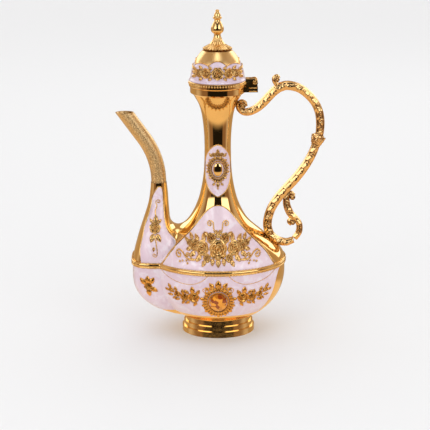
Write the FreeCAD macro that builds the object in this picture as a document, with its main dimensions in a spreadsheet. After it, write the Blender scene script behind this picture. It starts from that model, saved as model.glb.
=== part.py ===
import FreeCAD, Part
import math
import os
import Sketcher

# A long-spouted coffee pot with a hinged, domed lid.
# The origin is on the neck's axis at the surface the pot stands on. +Z is up,
# the spout points to -X, the handle to +X and the decorated front faces -Y.

doc = FreeCAD.newDocument("CoffeePot")
sheet = doc.addObject("Spreadsheet::Sheet", "Sizes")

SIZES = (
    ("wall", 1.5, "metal of the bowl, shoulder, neck and spout root"),
    ("enamel_skin", 0.5, "thickness of the enamel"),
    ("relief_rise", 1.6, "height of cast ornament above the enamel"),
    ("waist_height", 75.0, "height of the seam between bowl and shoulder"),
    ("waist_half_width", 66.0, "half of the bowl along X at the seam"),
    ("waist_half_depth", 52.0, "half of the bowl along Y at the seam"),
    ("band_width", 4.0, "height of the band over the seam"),
    ("band_rise", 1.4, "how far the band stands out"),
    ("foot_height", 16.0, "height of the stepped foot"),
    ("foot_half_width", 36.0, "half of the foot along X at the floor"),
    ("foot_half_depth", 29.0, "half of the foot along Y at the floor"),
    ("foot_step", 1.6, "how far each step of the foot goes in"),
    ("foot_wall", 3.0, "width of the ring the pot stands on"),
    ("plate_height", 3.0, "height of the bottom plate's underside"),
    ("plate_thickness", 1.2, "bottom plate"),
    ("bowl_base_half_width", 31.0, "half of the bowl along X on the foot"),
    ("bowl_base_half_depth", 25.0, "half of the bowl along Y on the foot"),
    ("shoulder_rise", 105.0, "height from the seam to the neck's narrowest part"),
    ("neck_radius", 12.9, "outside radius of the neck there"),
    ("neck_rise", 60.0, "height from there to the collar"),
    ("mouth_radius", 24.2, "outside radius of the neck under the collar"),
    ("collar_radius", 26.3, "outside radius of the collar"),
    ("collar_bore", 22.6, "radius of the pot's mouth"),
    ("collar_skirt", 1.6, "height of the collar's lower moulding"),
    ("collar_height", 6.8, "height of the collar; the lid rests on its top"),
    ("lid_gap", 0.1, "clearance between the lid and its seat"),
    ("lid_rim_radius", 27.5, "outside radius of the lid's beaded rim"),
    ("lid_rim_height", 6.8, "height of the beaded rim"),
    ("lid_rim_bevel", 1.2, "bevel above and below the beads"),
    ("dome_radius", 25.4, "outside radius of the dome at its foot"),
    ("dome_arc", 38.0, "radius of the dome's side, seen from the front"),
    ("dome_top_radius", 14.2, "radius where the dome's side ends"),
    ("dome_side_rise", 28.0, "height of the dome's side"),
    ("dome_crown_rise", 2.4, "rise from there to the finial"),
    ("dome_wall", 1.2, "metal of the dome"),
    ("stud_radius", 2.0, "threaded stud under the finial"),
    ("plug_gap", 1.0, "clearance between the lid's plug and the mouth"),
    ("plug_depth", 4.0, "how far the plug reaches into the mouth"),
    ("plug_wall", 1.2, "metal of the plug"),
    ("lid_enamel_foot", 1.6, "bare metal below the lid's enamel"),
    ("lid_enamel_rise", 15.0, "height of the lid's enamel band"),
    ("pin_reach", 34.6, "distance of the hinge pin from the neck's axis"),
    ("pin_rise", 4.2, "height of the hinge pin above the seat"),
    ("pin_radius", 1.4, "hinge pin"),
    ("pin_play", 0.05, "running clearance around the hinge pin"),
    ("knuckle_radius", 3.9, "radius of the lid's two knuckles"),
    ("knuckle_play", 0.4, "clearance around and between the knuckles"),
    ("hinge_half_width", 5.6, "half of the hinge along the pin"),
    ("middle_half_width", 2.2, "half of the fixed middle knuckle"),
    ("bracket_drop", 5.0, "height of the bracket on the collar"),
    ("leaf_rise", 7.8, "height of the lid's leaf above the seat"),
    ("lobe_middle", 54.0, "distance of the spout lobe's middle from the axis"),
    ("lobe_half_length", 30.5, "half of the lobe along X at the seam"),
    ("lobe_half_depth", 27.0, "half of the lobe along Y at the seam"),
    ("root_rise", 77.0, "height of the spout's root above the seam"),
    ("socket_middle", 57.7, "distance of that joint from the axis"),
    ("socket_radius", 7.6, "outside radius of the root at that joint"),
    ("root_lean", 4.7, "how far the root bulges away from the neck"),
    ("tube_radius", 7.3, "outside radius of the spout tube"),
    ("tube_wall", 1.3, "metal of the spout tube"),
    ("tube_start", 1.5, "straight length of the tube above the root"),
    ("tube_bend", 74.0, "radius of the tube's bend"),
    ("tube_lean", 35.5, "lean of the tube at its mouth, degrees"),
    ("tube_end", 42.0, "straight length of the tube beyond the bend"),
    ("tube_rise", 69.8, "height of the level mouth above the root"),
    ("strainer_thickness", 1.0, "pierced plate in the spout"),
    ("strainer_hole", 0.9, "radius of each hole in the strainer"),
    ("handle_drop", 12.0, "depth below the collar where the handle meets the neck"),
    ("handle_lift", 14.6, "height above the seam where it meets the shoulder"),
    ("handle_bar", 4.9, "radius of the handle's bar"),
    ("screw_radius", 1.5, "shank of the two handle screws"),
    ("screw_head", 2.8, "radius of their heads"),
    ("screw_head_depth", 1.4, "thickness of their heads"),
    ("screw_grip", 4.0, "length of screw inside the handle"),
    ("rosette_edge", 0.6, "thickness of the leaf rosette at its rim"),
    ("rosette_rise", 2.6, "height of the rosette above the dome"),
    ("finial_height", 33.4, "height of the finial above the rosette"),
    ("finial_bulb", 6.1, "radius of the finial's bulb and foot"),
    ("nut_radius", 4.5, "finial nut, across its corners"),
    ("nut_height", 3.0, "finial nut"),
)
for row, (alias, value, meaning) in enumerate(SIZES, start=1):
    sheet.set(f"A{row}", meaning)
    sheet.set(f"B{row}", str(value))
    sheet.setAlias(f"B{row}", alias)
doc.recompute()

# Heights that several pieces share, as sums of those sizes.
THROAT = "waist_height + shoulder_rise"
COLLAR_BASE = THROAT + " + neck_rise"
SEAT = COLLAR_BASE + " + collar_height"
SOCKET = "waist_height + root_rise"
MOUTH = SOCKET + " + tube_rise"
HANDLE_TOP = COLLAR_BASE + " - handle_drop"
HANDLE_FOOT = "waist_height + handle_lift"

NODES = {}


def size(alias):
    """One driving dimension, as the sheet holds it."""
    return float(getattr(sheet, alias))


def reckon(sum_of_sizes):
    """Value of a sum of named sizes, such as 'waist_height + root_rise'."""
    total = 0.0
    sign = 1
    for word in sum_of_sizes.split():
        if word == "-":
            sign = -1
        elif word == "+":
            sign = 1
        else:
            total += sign * size(word)
    return total


def bound(sum_of_sizes):
    """The same sum as an expression on the sheet's cells."""
    words = sum_of_sizes.split()
    return " ".join(word if word in "+-" else "Sizes." + word for word in words)


def keep(name, thing):
    """Registers a document object as the sub-part of that name."""
    thing.Label = name
    NODES[name] = thing
    return thing


def sculpted(name, shape):
    """A sub-part whose shape is made by surfaces that no sketch can hold."""
    feature = doc.addObject("Part::Feature", name)
    feature.Shape = shape
    feature.Placement = FreeCAD.Placement()
    return keep(name, feature)


# ---- sketches ---------------------------------------------------------------


def new_body(name):
    return keep(name, doc.addObject("PartDesign::Body", name))


def new_sketch(body, plane, offset=""):
    """An empty sketch on one of the body's own origin planes."""
    sketch = body.newObject("Sketcher::SketchObject", body.Name + "_sketch")
    for feature in body.Origin.OriginFeatures:
        if feature.Role == plane:
            sketch.AttachmentSupport = [(feature, "")]
    sketch.MapMode = "FlatFace"
    if offset:
        sketch.setExpression("AttachmentOffset.Base.z", bound(offset))
    return sketch


def fix(sketch, kind, edge, end, sum_of_sizes):
    """Ties one end of an edge to a sum of named sizes from the origin."""
    value = reckon(sum_of_sizes)
    index = sketch.addConstraint(Sketcher.Constraint(kind, -1, 1, edge, end, value))
    sketch.setExpression(f"Constraints[{index}]", bound(sum_of_sizes))


def draw(sketch, corners):
    """A closed outline. Each corner is (across, up) or (across, up, radius,
    side): the edge that ends there is then an arc, bulging to that side."""
    values = [(reckon(corner[0]) if corner[0] else 0.0, reckon(corner[1])) for corner in corners]
    ends = []
    for place, corner in enumerate(corners):
        begin = FreeCAD.Vector(*values[place - 1], 0)
        finish = FreeCAD.Vector(*values[place], 0)
        if len(corner) == 2:
            edge = sketch.addGeometry(Part.LineSegment(begin, finish))
            ends.append((edge, 1, 2))
            continue
        radius = reckon(corner[2])
        chord = finish - begin
        across = FreeCAD.Vector(-chord.y, chord.x, 0).normalize()
        inset = math.sqrt(radius**2 - (chord.Length / 2) ** 2)
        centre = begin + chord * 0.5 + across * (inset * corner[3])
        start = math.atan2(begin.y - centre.y, begin.x - centre.x)
        stop = math.atan2(finish.y - centre.y, finish.x - centre.x)
        circle = Part.Circle(centre, FreeCAD.Vector(0, 0, 1), radius)
        if corner[3] > 0:
            edge = sketch.addGeometry(Part.ArcOfCircle(circle, start, stop))
            ends.append((edge, 1, 2))
        else:
            edge = sketch.addGeometry(Part.ArcOfCircle(circle, stop, start))
            ends.append((edge, 2, 1))
        index = sketch.addConstraint(Sketcher.Constraint("Radius", edge, radius))
        sketch.setExpression(f"Constraints[{index}]", bound(corner[2]))
    for place, (edge, _, last) in enumerate(ends):
        following, first, _ = ends[(place + 1) % len(ends)]
        sketch.addConstraint(Sketcher.Constraint("Coincident", edge, last, following, first))
        if corners[place][0]:
            fix(sketch, "DistanceX", edge, last, corners[place][0])
        else:
            sketch.addConstraint(Sketcher.Constraint("PointOnObject", edge, last, -2))
        fix(sketch, "DistanceY", edge, last, corners[place][1])


def circle_at(sketch, across, up, radius):
    """A circle whose middle and radius are sums of named sizes."""
    centre = FreeCAD.Vector(reckon(across) if across else 0, reckon(up) if up else 0, 0)
    middle = Part.Circle(centre, FreeCAD.Vector(0, 0, 1), reckon(radius))
    edge = sketch.addGeometry(middle)
    index = sketch.addConstraint(Sketcher.Constraint("Radius", edge, reckon(radius)))
    sketch.setExpression(f"Constraints[{index}]", bound(radius))
    for kind, distance in (("DistanceX", across), ("DistanceY", up)):
        if distance:
            fix(sketch, kind, edge, 3, distance)
        else:
            axis = -2 if kind == "DistanceX" else -1
            sketch.addConstraint(Sketcher.Constraint("PointOnObject", edge, 3, axis))


def turn(body, corners):
    """Turns an outline in the XZ plane about the Z axis."""
    sketch = new_sketch(body, "XZ_Plane")
    draw(sketch, corners)
    turned = body.newObject("PartDesign::Revolution", body.Name + "_turned")
    turned.Profile = sketch
    turned.ReferenceAxis = (sketch, ["V_Axis"])
    turned.Angle = 360
    return turned


def extrude(body, kind, sketch, length, both_ways=False, reverse=False):
    """Pads or pockets a sketch by a sum of named sizes."""
    feature = body.newObject("PartDesign::" + kind, body.Name + "_" + kind.lower())
    feature.Profile = sketch
    feature.setExpression("Length", bound(length))
    if both_ways:
        feature.SideType = "Symmetric"
    feature.Reversed = reverse
    return feature


# ---- the pot's outside, as sections that a smooth surface runs through ------

# Each row of the shoulder: share of the way up from seam to throat, and share
# of the way out from the neck's radius to the seam's.
SHOULDER = (
    (0.0, 1.0),
    (0.048, 0.989),
    (0.086, 0.944),
    (0.124, 0.878),
    (0.162, 0.802),
    (0.219, 0.67),
    (0.282, 0.524),
    (0.36, 0.343),
    (0.438, 0.237),
    (0.552, 0.132),
    (0.71, 0.051),
    (0.86, 0.01),
    (1.0, 0.0),
)
# The same from throat to collar, out to the mouth's radius.
NECK = (
    (0.25, 0.0),
    (0.49, 0.085),
    (0.68, 0.225),
    (0.82, 0.42),
    (0.93, 0.72),
    (1.0, 1.0),
)
# The bowl: share of the way down from seam to foot, and share of the way out.
BOWL = (
    (0.0, 1.0),
    (0.17, 1.0),
    (0.34, 0.975),
    (0.51, 0.89),
    (0.68, 0.73),
    (0.85, 0.46),
    (0.96, 0.18),
    (1.0, 0.0),
)
# The lobe under the spout: share of the way down from seam to foot, and its
# middle, half length and half depth as shares of those at the seam.
LOBE = (
    (0.0, 1.0, 1.0, 1.0),
    (0.25, 1.0, 0.985, 1.0),
    (0.46, 0.98, 0.95, 0.97),
    (0.66, 0.9, 0.84, 0.88),
    (0.83, 0.76, 0.62, 0.72),
    (1.0, 0.4, 0.2, 0.3),
)
LOBE_SQUARENESS = 3.4
# The spout's root: share of the way up from seam to socket, spread along X and
# along Y between socket and lobe, bulge, and squareness of the section.
ROOT = (
    (0.0, 1.0, 1.0, 0.0, 3.4),
    (0.117, 0.886, 0.974, 0.13, 3.4),
    (0.22, 0.738, 0.912, 0.3, 3.2),
    (0.384, 0.458, 0.742, 0.77, 2.8),
    (0.49, 0.271, 0.55, 1.0, 2.6),
    (0.597, 0.192, 0.38, 0.72, 2.4),
    (0.753, 0.092, 0.186, 0.3, 2.2),
    (0.916, 0.035, 0.062, 0.04, 2.0),
    (1.0, 0.0, 0.0, 0.0, 2.0),
)
SECTION_POINTS = 24
# Every section is paced alike, so that the surface through them stays light.
SECTION_PACE = [step / SECTION_POINTS for step in range(SECTION_POINTS + 1)]


def section(height, middle, half_width, half_depth, squareness=2.0):
    """A closed level outline, from an ellipse to a rounded box."""
    points = []
    for step in range(SECTION_POINTS):
        angle = 2 * math.pi * step / SECTION_POINTS
        across = abs(math.cos(angle)) ** squareness
        along = abs(math.sin(angle)) ** squareness
        stretch = (across + along) ** (-1 / squareness)
        x = middle + half_width * stretch * math.cos(angle)
        y = half_depth * stretch * math.sin(angle)
        points.append(FreeCAD.Vector(x, y, height))
    curve = Part.BSplineCurve()
    curve.interpolate(Points=points, PeriodicFlag=True, Parameters=SECTION_PACE)
    return Part.Wire([curve.toShape()])


def between(low, high, share):
    return low + share * (high - low)


def profile():
    """Rows of (height, half width, half depth) from seam to collar."""
    rows = []
    for rise, spread in SHOULDER:
        height = between(size("waist_height"), reckon(THROAT), rise)
        width = between(size("neck_radius"), size("waist_half_width"), spread)
        depth = between(size("neck_radius"), size("waist_half_depth"), spread)
        rows.append((height, width, depth))
    for rise, spread in NECK:
        height = between(reckon(THROAT), reckon(COLLAR_BASE), rise)
        radius = between(size("neck_radius"), size("mouth_radius"), spread)
        rows.append((height, radius, radius))
    return rows


def half_width_at(height):
    """The shoulder's or neck's half width along X at one height."""
    rows = profile()
    for lower, upper in zip(rows, rows[1:]):
        if lower[0] <= height <= upper[0]:
            return between(lower[1], upper[1], (height - lower[0]) / (upper[0] - lower[0]))
    return rows[-1][1]


def loft(sections):
    return Part.makeLoft(sections, True, False)


def shoulder_solid(grow):
    """Shoulder and neck as one solid, grown outwards by a distance."""
    return loft([section(z, 0, width + grow, depth + grow) for z, width, depth in profile()])


def root_solid(grow):
    """Root of the spout as one solid."""
    sections = []
    for rise, spread_x, spread_y, bulge, squareness in ROOT:
        height = between(size("waist_height"), reckon(SOCKET), rise)
        middle = between(size("lobe_middle"), size("socket_middle"), rise) + bulge * size("root_lean")
        length = between(size("socket_radius"), size("lobe_half_length"), spread_x) + grow
        depth = between(size("socket_radius"), size("lobe_half_depth"), spread_y) + grow
        sections.append(section(height, -middle, length, depth, squareness))
    return loft(sections)


def bowl_solid(grow, floor=0.0):
    """Lower bowl as one solid; its bottom is raised by floor."""
    bottom = size("foot_height") + floor
    sections = []
    for drop, spread in BOWL:
        height = between(size("waist_height"), bottom, drop)
        width = between(size("bowl_base_half_width"), size("waist_half_width"), spread)
        depth = between(size("bowl_base_half_depth"), size("waist_half_depth"), spread)
        sections.append(section(height, 0, width + grow, depth + grow))
    return loft(sections)


def lobe_solid(grow, floor=0.0):
    """Lobe of the bowl under the spout as one solid."""
    bottom = size("foot_height") + floor
    sections = []
    for drop, middle, length, depth in LOBE:
        height = between(size("waist_height"), bottom, drop)
        half_length = length * size("lobe_half_length") + grow
        half_depth = depth * size("lobe_half_depth") + grow
        centre = -middle * size("lobe_middle")
        sections.append(section(height, centre, half_length, half_depth, LOBE_SQUARENESS))
    return loft(sections)


def upper_solid(grow):
    return shoulder_solid(grow).fuse(root_solid(grow))


def lower_solid(grow, floor=0.0):
    return bowl_solid(grow, floor).fuse(lobe_solid(grow, floor))


upper_outside = upper_solid(0)
lower_outside = lower_solid(0)
upper_inside = upper_solid(-size("wall"))
lower_inside = lower_solid(-size("wall"), size("wall"))


# ---- outlines that ornament and enamel are cut to ----------------------------

FAR = 200.0


def edge_through(points):
    """A straight or smooth edge in the XZ plane through the given points."""
    vectors = [FreeCAD.Vector(x, 0, z) for x, z in points]
    if len(vectors) == 2:
        return Part.makeLine(*vectors)
    curve = Part.BSplineCurve()
    curve.interpolate(vectors)
    return curve.toShape()


def outline(*stretches):
    """A closed outline, each stretch beginning where the last one ended."""
    return Part.Face(Part.Wire([edge_through(stretch) for stretch in stretches]))


def raised(points, lift):
    """The same stretch, higher by a distance."""
    return [(x, z + lift) for x, z in points]


def mirrored(points):
    """The same stretch on the other side of the axis, run backwards."""
    return [(-x, z) for x, z in reversed(points)]


def oval(x, z, half_width, half_height):
    """An upright oval in the XZ plane."""
    points = []
    for step in range(12):
        angle = math.pi * step / 6
        points.append(FreeCAD.Vector(x + half_width * math.cos(angle), 0, z + half_height * math.sin(angle)))
    curve = Part.BSplineCurve()
    curve.interpolate(Points=points, PeriodicFlag=True)
    return Part.Face(Part.Wire([curve.toShape()]))


def reach(face, side):
    """The outline carried from the middle plane out through one side."""
    return face.extrude(FreeCAD.Vector(0, side * FAR, 0))


def together(shapes):
    if len(shapes) == 1:
        return shapes[0]
    return shapes[0].multiFuse(shapes[1:])


def both_sides(name, layer, faces):
    """Cuts one layer to the faces, once for the front and once for the back."""
    for ending, side in (("front", -1), ("back", 1)):
        stamp = together([reach(face, side) for face in faces])
        sculpted(f"{name}_{ending}", solids_of(layer.common(stamp)))


# Anything smaller than this, in cubic millimetres, is left from a cut.
CRUMB = 0.05


def solids_of(shape):
    """Only the solids of a result, as one solid or a group."""
    solids = [solid for solid in shape.Solids if solid.Volume > CRUMB]
    return solids[0] if len(solids) == 1 else Part.makeCompound(solids)


# ---- foot, bottom plate and bowl --------------------------------------------

# Three elliptical steps, one on another, under the bowl.
FOOT_STEPS = ((0.0, 0.36, 0), (0.36, 0.68, 1), (0.68, 1.0, 2))


def foot_slab(low, high, shrink):
    """One elliptical slab between two heights."""
    lower = section(low, 0, size("foot_half_width") - shrink, size("foot_half_depth") - shrink)
    upper = section(high, 0, size("foot_half_width") - shrink, size("foot_half_depth") - shrink)
    return loft([lower, upper])


slabs = []
for low, high, step in FOOT_STEPS:
    shrink = step * size("foot_step")
    slabs.append(foot_slab(low * size("foot_height"), high * size("foot_height"), shrink))
foot_hollow = foot_slab(0, size("foot_height"), 2 * size("foot_step") + size("foot_wall"))
sculpted("foot_ring", solids_of(together(slabs).cut(foot_hollow)))

plate_top = size("plate_height") + size("plate_thickness")
hollow_shrink = 2 * size("foot_step") + size("foot_wall")
sculpted("bottom_plate", foot_slab(size("plate_height"), plate_top, hollow_shrink))

sculpted("base_bowl", solids_of(lower_outside.cut(lower_inside)))

band_low = size("waist_height") - size("band_width") / 2
band_lift = FreeCAD.Vector(0, 0, size("band_width"))
rise = size("band_rise")
body_ring = section(band_low, 0, size("waist_half_width") + rise, size("waist_half_depth") + rise)
lobe_ring = section(
    band_low,
    -size("lobe_middle"),
    size("lobe_half_length") + rise,
    size("lobe_half_depth") + rise,
    LOBE_SQUARENESS,
)
band_blank = Part.Face(body_ring).extrude(band_lift).fuse(Part.Face(lobe_ring).extrude(band_lift))
sculpted("waist_band", solids_of(band_blank.cut(upper_outside).cut(lower_outside)))

# ---- handle path: places of the bar's middle, tied to neck and shoulder ------

# Drawn places where the handle meets the neck and the shoulder. When neck or
# shoulder move, every place of the handle moves with them in proportion.
DRAWN_TOP = (17.3, 228.0)
DRAWN_FOOT = (57.7, 89.6)
TOP = (half_width_at(reckon(HANDLE_TOP)), reckon(HANDLE_TOP))
FOOT = (half_width_at(reckon(HANDLE_FOOT)), reckon(HANDLE_FOOT))


def on_handle(x, z):
    """Carries a drawn place of the handle to this pot."""
    share = (z - DRAWN_FOOT[1]) / (DRAWN_TOP[1] - DRAWN_FOOT[1])
    shift = between(FOOT[0] - DRAWN_FOOT[0], TOP[0] - DRAWN_TOP[0], share)
    return FreeCAD.Vector(x + shift, 0, between(FOOT[1], TOP[1], share))


def tapered_bar(rows, stations):
    """A round bar along a smooth line; rows of (x, z, share of the radius)."""
    places = [on_handle(x, z) for x, z, _ in rows]
    line = Part.BSplineCurve()
    line.interpolate(places)
    marks = [line.parameter(place) for place in places]
    sections = []
    for step in range(stations):
        mark = between(line.FirstParameter, line.LastParameter, step / (stations - 1))
        for number in range(len(marks) - 1):
            if marks[number] - 1e-9 <= mark <= marks[number + 1] + 1e-9:
                share = (mark - marks[number]) / (marks[number + 1] - marks[number])
                radius = between(rows[number][2], rows[number + 1][2], share) * size("handle_bar")
        ring = Part.Circle(line.value(mark), FreeCAD.Vector(*line.tangent(mark)[0]), radius)
        sections.append(Part.Wire([ring.toShape()]))
    return loft(sections)


def eye(x, z, share, thick):
    """The round middle of a scroll, lying across the handle."""
    half_thickness = thick * size("handle_bar")
    centre = on_handle(x, z) - FreeCAD.Vector(0, half_thickness, 0)
    radius = share * size("handle_bar")
    return Part.makeCylinder(radius, 2 * half_thickness, centre, FreeCAD.Vector(0, 1, 0))


ARCH = (
    (27.4, 227.4, 0.42),
    (26.2, 231.0, 0.48),
    (22.6, 231.9, 0.54),
    (20.0, 228.9, 0.6),
    (20.9, 224.8, 0.7),
    (25.0, 222.0, 0.82),
    (30.4, 222.0, 0.9),
    (37.0, 225.0, 0.95),
    (43.2, 230.2, 1.0),
    (48.8, 236.2, 1.0),
    (54.2, 241.8, 1.02),
    (60.2, 245.8, 1.05),
    (67.6, 247.4, 1.05),
    (78.1, 244.7, 1.0),
    (86.9, 238.3, 0.98),
    (93.6, 230.2, 0.97),
    (97.6, 221.2, 0.96),
    (99.0, 211.8, 0.96),
    (98.8, 203.0, 0.94),
    (97.9, 197.2, 0.92),
)
STEM = (
    (95.6, 190.6, 0.95),
    (92.6, 182.4, 0.98),
    (88.6, 174.0, 1.0),
    (83.2, 165.2, 1.03),
    (75.6, 155.2, 1.05),
    (67.1, 145.7, 1.04),
    (59.4, 136.5, 1.04),
    (53.0, 126.3, 1.03),
    (49.4, 115.6, 1.03),
    (49.0, 106.0, 1.0),
    (52.4, 97.6, 0.98),
    (59.0, 92.4, 0.96),
    (67.2, 90.6, 0.86),
    (74.6, 92.8, 0.72),
)
SCROLL = (
    (75.0, 138.6, 0.4),
    (71.6, 141.0, 0.5),
    (68.2, 138.4, 0.62),
    (67.2, 132.6, 0.78),
    (68.4, 126.0, 0.84),
    (71.6, 119.4, 0.84),
    (76.6, 114.6, 0.72),
    (80.2, 108.4, 0.72),
    (79.8, 100.8, 0.74),
    (75.8, 94.6, 0.7),
)
CURL = (
    (58.9, 254.6, 0.36),
    (57.0, 256.6, 0.4),
    (54.3, 255.2, 0.44),
    (54.4, 251.8, 0.5),
    (57.2, 248.0, 0.6),
    (61.0, 245.8, 0.7),
)

# The small scroll that closes the stem's branch, seen from the side.
INNER_SCROLL = (
    (76.0, 113.8, 0.6),
    (72.6, 114.8, 0.56),
    (70.2, 111.6, 0.52),
    (72.4, 108.6, 0.42),
)
# Each eye: its place, radius and half thickness, both as shares of the bar's.
ARCH_EYE = (23.9, 228.0, 0.62, 0.86)
SCROLL_EYE = (72.9, 137.2, 0.6, 0.73)
INNER_EYE = (73.6, 111.0, 0.5, 0.65)
CURL_EYE = (56.9, 253.6, 0.52, 0.78)

arch = together([tapered_bar(ARCH, 30), eye(*ARCH_EYE)])
stem = tapered_bar(STEM, 20)
scroll_bars = [tapered_bar(SCROLL, 18), tapered_bar(INNER_SCROLL, 10)]
scroll = together(scroll_bars + [eye(*SCROLL_EYE), eye(*INNER_EYE)])
curl = together([tapered_bar(CURL, 14), eye(*CURL_EYE)])

# The leafy knuckle is a flared sleeve between arch and stem.
knuckle_low = on_handle(94.9, 189.0)
knuckle_high = on_handle(98.2, 198.6)
knuckle_way = knuckle_high - knuckle_low
# Share of the way along the sleeve, and its radius as a share of the bar's.
KNUCKLE = ((0.0, 1.04), (0.25, 1.18), (0.6, 1.45), (0.82, 1.58), (1.0, 1.3))
rings = []
for share, wide in KNUCKLE:
    ring = Part.Circle(knuckle_low + knuckle_way * share, knuckle_way, wide * size("handle_bar"))
    rings.append(Part.Wire([ring.toShape()]))
knuckle = loft(rings)

arch = arch.cut(knuckle)
stem = stem.cut(knuckle)
curl = curl.cut(arch)
scroll = scroll.cut(stem)
arch = arch.cut(upper_outside)
stem = stem.cut(upper_outside)


# How deep a screw's head sits, in thicknesses of the wall it holds.
HEAD_CLEAR = 1.2


def screw(place, way):
    """A round-headed screw from inside the pot; place is on the outside."""
    depth = HEAD_CLEAR * size("wall") / max(abs(way.x), abs(way.z))
    under_head = place - way * depth
    shank = Part.makeCylinder(size("screw_radius"), depth + size("screw_grip"), under_head, way)
    head_start = under_head - way * size("screw_head_depth")
    head = Part.makeCylinder(size("screw_head"), size("screw_head_depth"), head_start, way)
    return shank, head


# The lower screw stands square to the shoulder where the handle rests on it.
probe = 3.0
slope = (half_width_at(FOOT[1] - probe) - half_width_at(FOOT[1] + probe)) / (2 * probe)
square_out = FreeCAD.Vector(1, 0, slope).normalize()
top_screw = screw(FreeCAD.Vector(TOP[0], 0, TOP[1]), FreeCAD.Vector(1, 0, 0))
foot_screw = screw(FreeCAD.Vector(FOOT[0], 0, FOOT[1]), square_out)
shanks = together([top_screw[0], foot_screw[0]])
screws = [top_screw[0].fuse(top_screw[1]), foot_screw[0].fuse(foot_screw[1])]
sculpted("handle_screws", Part.makeCompound([screw_solid.Solids[0] for screw_solid in screws]))
sculpted("handle_arch", solids_of(arch.cut(shanks)))
sculpted("handle_knuckle", knuckle)
sculpted("handle_stem", solids_of(stem.cut(shanks)))
sculpted("handle_scroll", solids_of(scroll))
sculpted("thumb_scroll", solids_of(curl))

# ---- shoulder, neck and spout root -------------------------------------------

heads = together([top_screw[1], foot_screw[1]])
sculpted("upper_body", solids_of(upper_outside.cut(upper_inside).cut(shanks).cut(heads)))

# The collar is a turned ring on the end of the neck; the lid rests on it.
turn(
    new_body("neck_collar"),
    (
        ("collar_bore", COLLAR_BASE),
        ("mouth_radius", COLLAR_BASE),
        ("collar_radius", COLLAR_BASE + " + collar_skirt"),
        ("collar_radius", SEAT),
        ("collar_bore", SEAT),
    ),
)

# ---- spout tube and strainer ---------------------------------------------------

tube = new_body("spout_tube")
path = new_sketch(tube, "XZ_Plane")
start = FreeCAD.Vector(-size("socket_middle"), reckon(SOCKET), 0)
bend_start = start + FreeCAD.Vector(0, size("tube_start"), 0)
bend_centre = bend_start - FreeCAD.Vector(size("tube_bend"), 0, 0)
lean = math.radians(size("tube_lean"))
spoke = FreeCAD.Vector(math.cos(lean), math.sin(lean), 0)
bend_end = bend_centre + spoke * size("tube_bend")
mouth = bend_end + FreeCAD.Vector(-spoke.y, spoke.x, 0) * size("tube_end")
bend_circle = Part.Circle(bend_centre, FreeCAD.Vector(0, 0, 1), size("tube_bend"))
riser = path.addGeometry(Part.LineSegment(start, bend_start))
bend = path.addGeometry(Part.ArcOfCircle(bend_circle, 0, lean))
run_out = path.addGeometry(Part.LineSegment(bend_end, mouth))
path.addConstraint(Sketcher.Constraint("Vertical", riser))
path.addConstraint(Sketcher.Constraint("Tangent", riser, 2, bend, 1))
path.addConstraint(Sketcher.Constraint("Tangent", bend, 2, run_out, 1))
fix(path, "DistanceX", riser, 1, "- socket_middle")
fix(path, "DistanceY", riser, 1, SOCKET)
for edge, kind, alias in (
    (riser, "Distance", "tube_start"),
    (bend, "Radius", "tube_bend"),
    (run_out, "Distance", "tube_end"),
):
    index = path.addConstraint(Sketcher.Constraint(kind, edge, size(alias)))
    path.setExpression(f"Constraints[{index}]", bound(alias))
index = path.addConstraint(Sketcher.Constraint("Angle", run_out, math.radians(90) + lean))
path.setExpression(f"Constraints[{index}]", "90 deg + Sizes.tube_lean * 1 deg")
for kind, radius in (("Additive", "tube_radius"), ("Subtractive", "tube_radius - tube_wall")):
    ring_sketch = new_sketch(tube, "XY_Plane", SOCKET)
    circle_at(ring_sketch, "- socket_middle", "", radius)
    doc.recompute()
    pipe = tube.newObject(f"PartDesign::{kind}Pipe", f"{kind}_pipe")
    pipe.Profile = ring_sketch
    pipe.Spine = (path, ["Edge1", "Edge2", "Edge3"])
    doc.recompute()
level_cut = new_sketch(tube, "XZ_Plane")
draw(
    level_cut,
    (
        ("- socket_middle", MOUTH),
        ("- socket_middle", MOUTH + " + tube_end"),
        ("- socket_middle - tube_bend", MOUTH + " + tube_end"),
        ("- socket_middle - tube_bend", MOUTH),
    ),
)
extrude(tube, "Pocket", level_cut, "tube_bend", both_ways=True)

# A round pierced plate in the straight foot of the tube.
strainer = new_body("spout_strainer")
disc = new_sketch(strainer, "XY_Plane", SOCKET)
circle_at(disc, "- socket_middle", "", "tube_radius - tube_wall")
extrude(strainer, "Pad", disc, "strainer_thickness")
HOLES_IN_RING = 6
RING_SHARE = 0.58
piercing = new_sketch(strainer, "XY_Plane", SOCKET)
circle_at(piercing, "- socket_middle", "", "strainer_hole")
for number in range(HOLES_IN_RING):
    angle = 2 * math.pi * number / HOLES_IN_RING
    from_middle = RING_SHARE * (size("tube_radius") - size("tube_wall"))
    x = from_middle * math.cos(angle) - size("socket_middle")
    y = from_middle * math.sin(angle)
    hole = Part.Circle(FreeCAD.Vector(x, y, 0), FreeCAD.Vector(0, 0, 1), size("strainer_hole"))
    edge = piercing.addGeometry(hole)
    index = piercing.addConstraint(Sketcher.Constraint("Radius", edge, size("strainer_hole")))
    piercing.setExpression(f"Constraints[{index}]", bound("strainer_hole"))
extrude(strainer, "Pocket", piercing, "strainer_thickness", reverse=True)

# ---- hinge -----------------------------------------------------------------------

PIN_HEIGHT = SEAT + " + pin_rise"


def block(body, left, right, low, high, half_width):
    """A block between two places along X and two heights, centred on Y."""
    sketch = new_sketch(body, "XZ_Plane")
    draw(sketch, ((left, low), (right, low), (right, high), (left, high)))
    return extrude(body, "Pad", sketch, f"{half_width} + {half_width}", both_ways=True)


def barrel(body, kind, radius, half_width):
    """A round along the pin's axis, added or taken away."""
    sketch = new_sketch(body, "XZ_Plane")
    circle_at(sketch, "pin_reach", PIN_HEIGHT, radius)
    return extrude(body, kind, sketch, f"{half_width} + {half_width}", both_ways=True)


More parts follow.
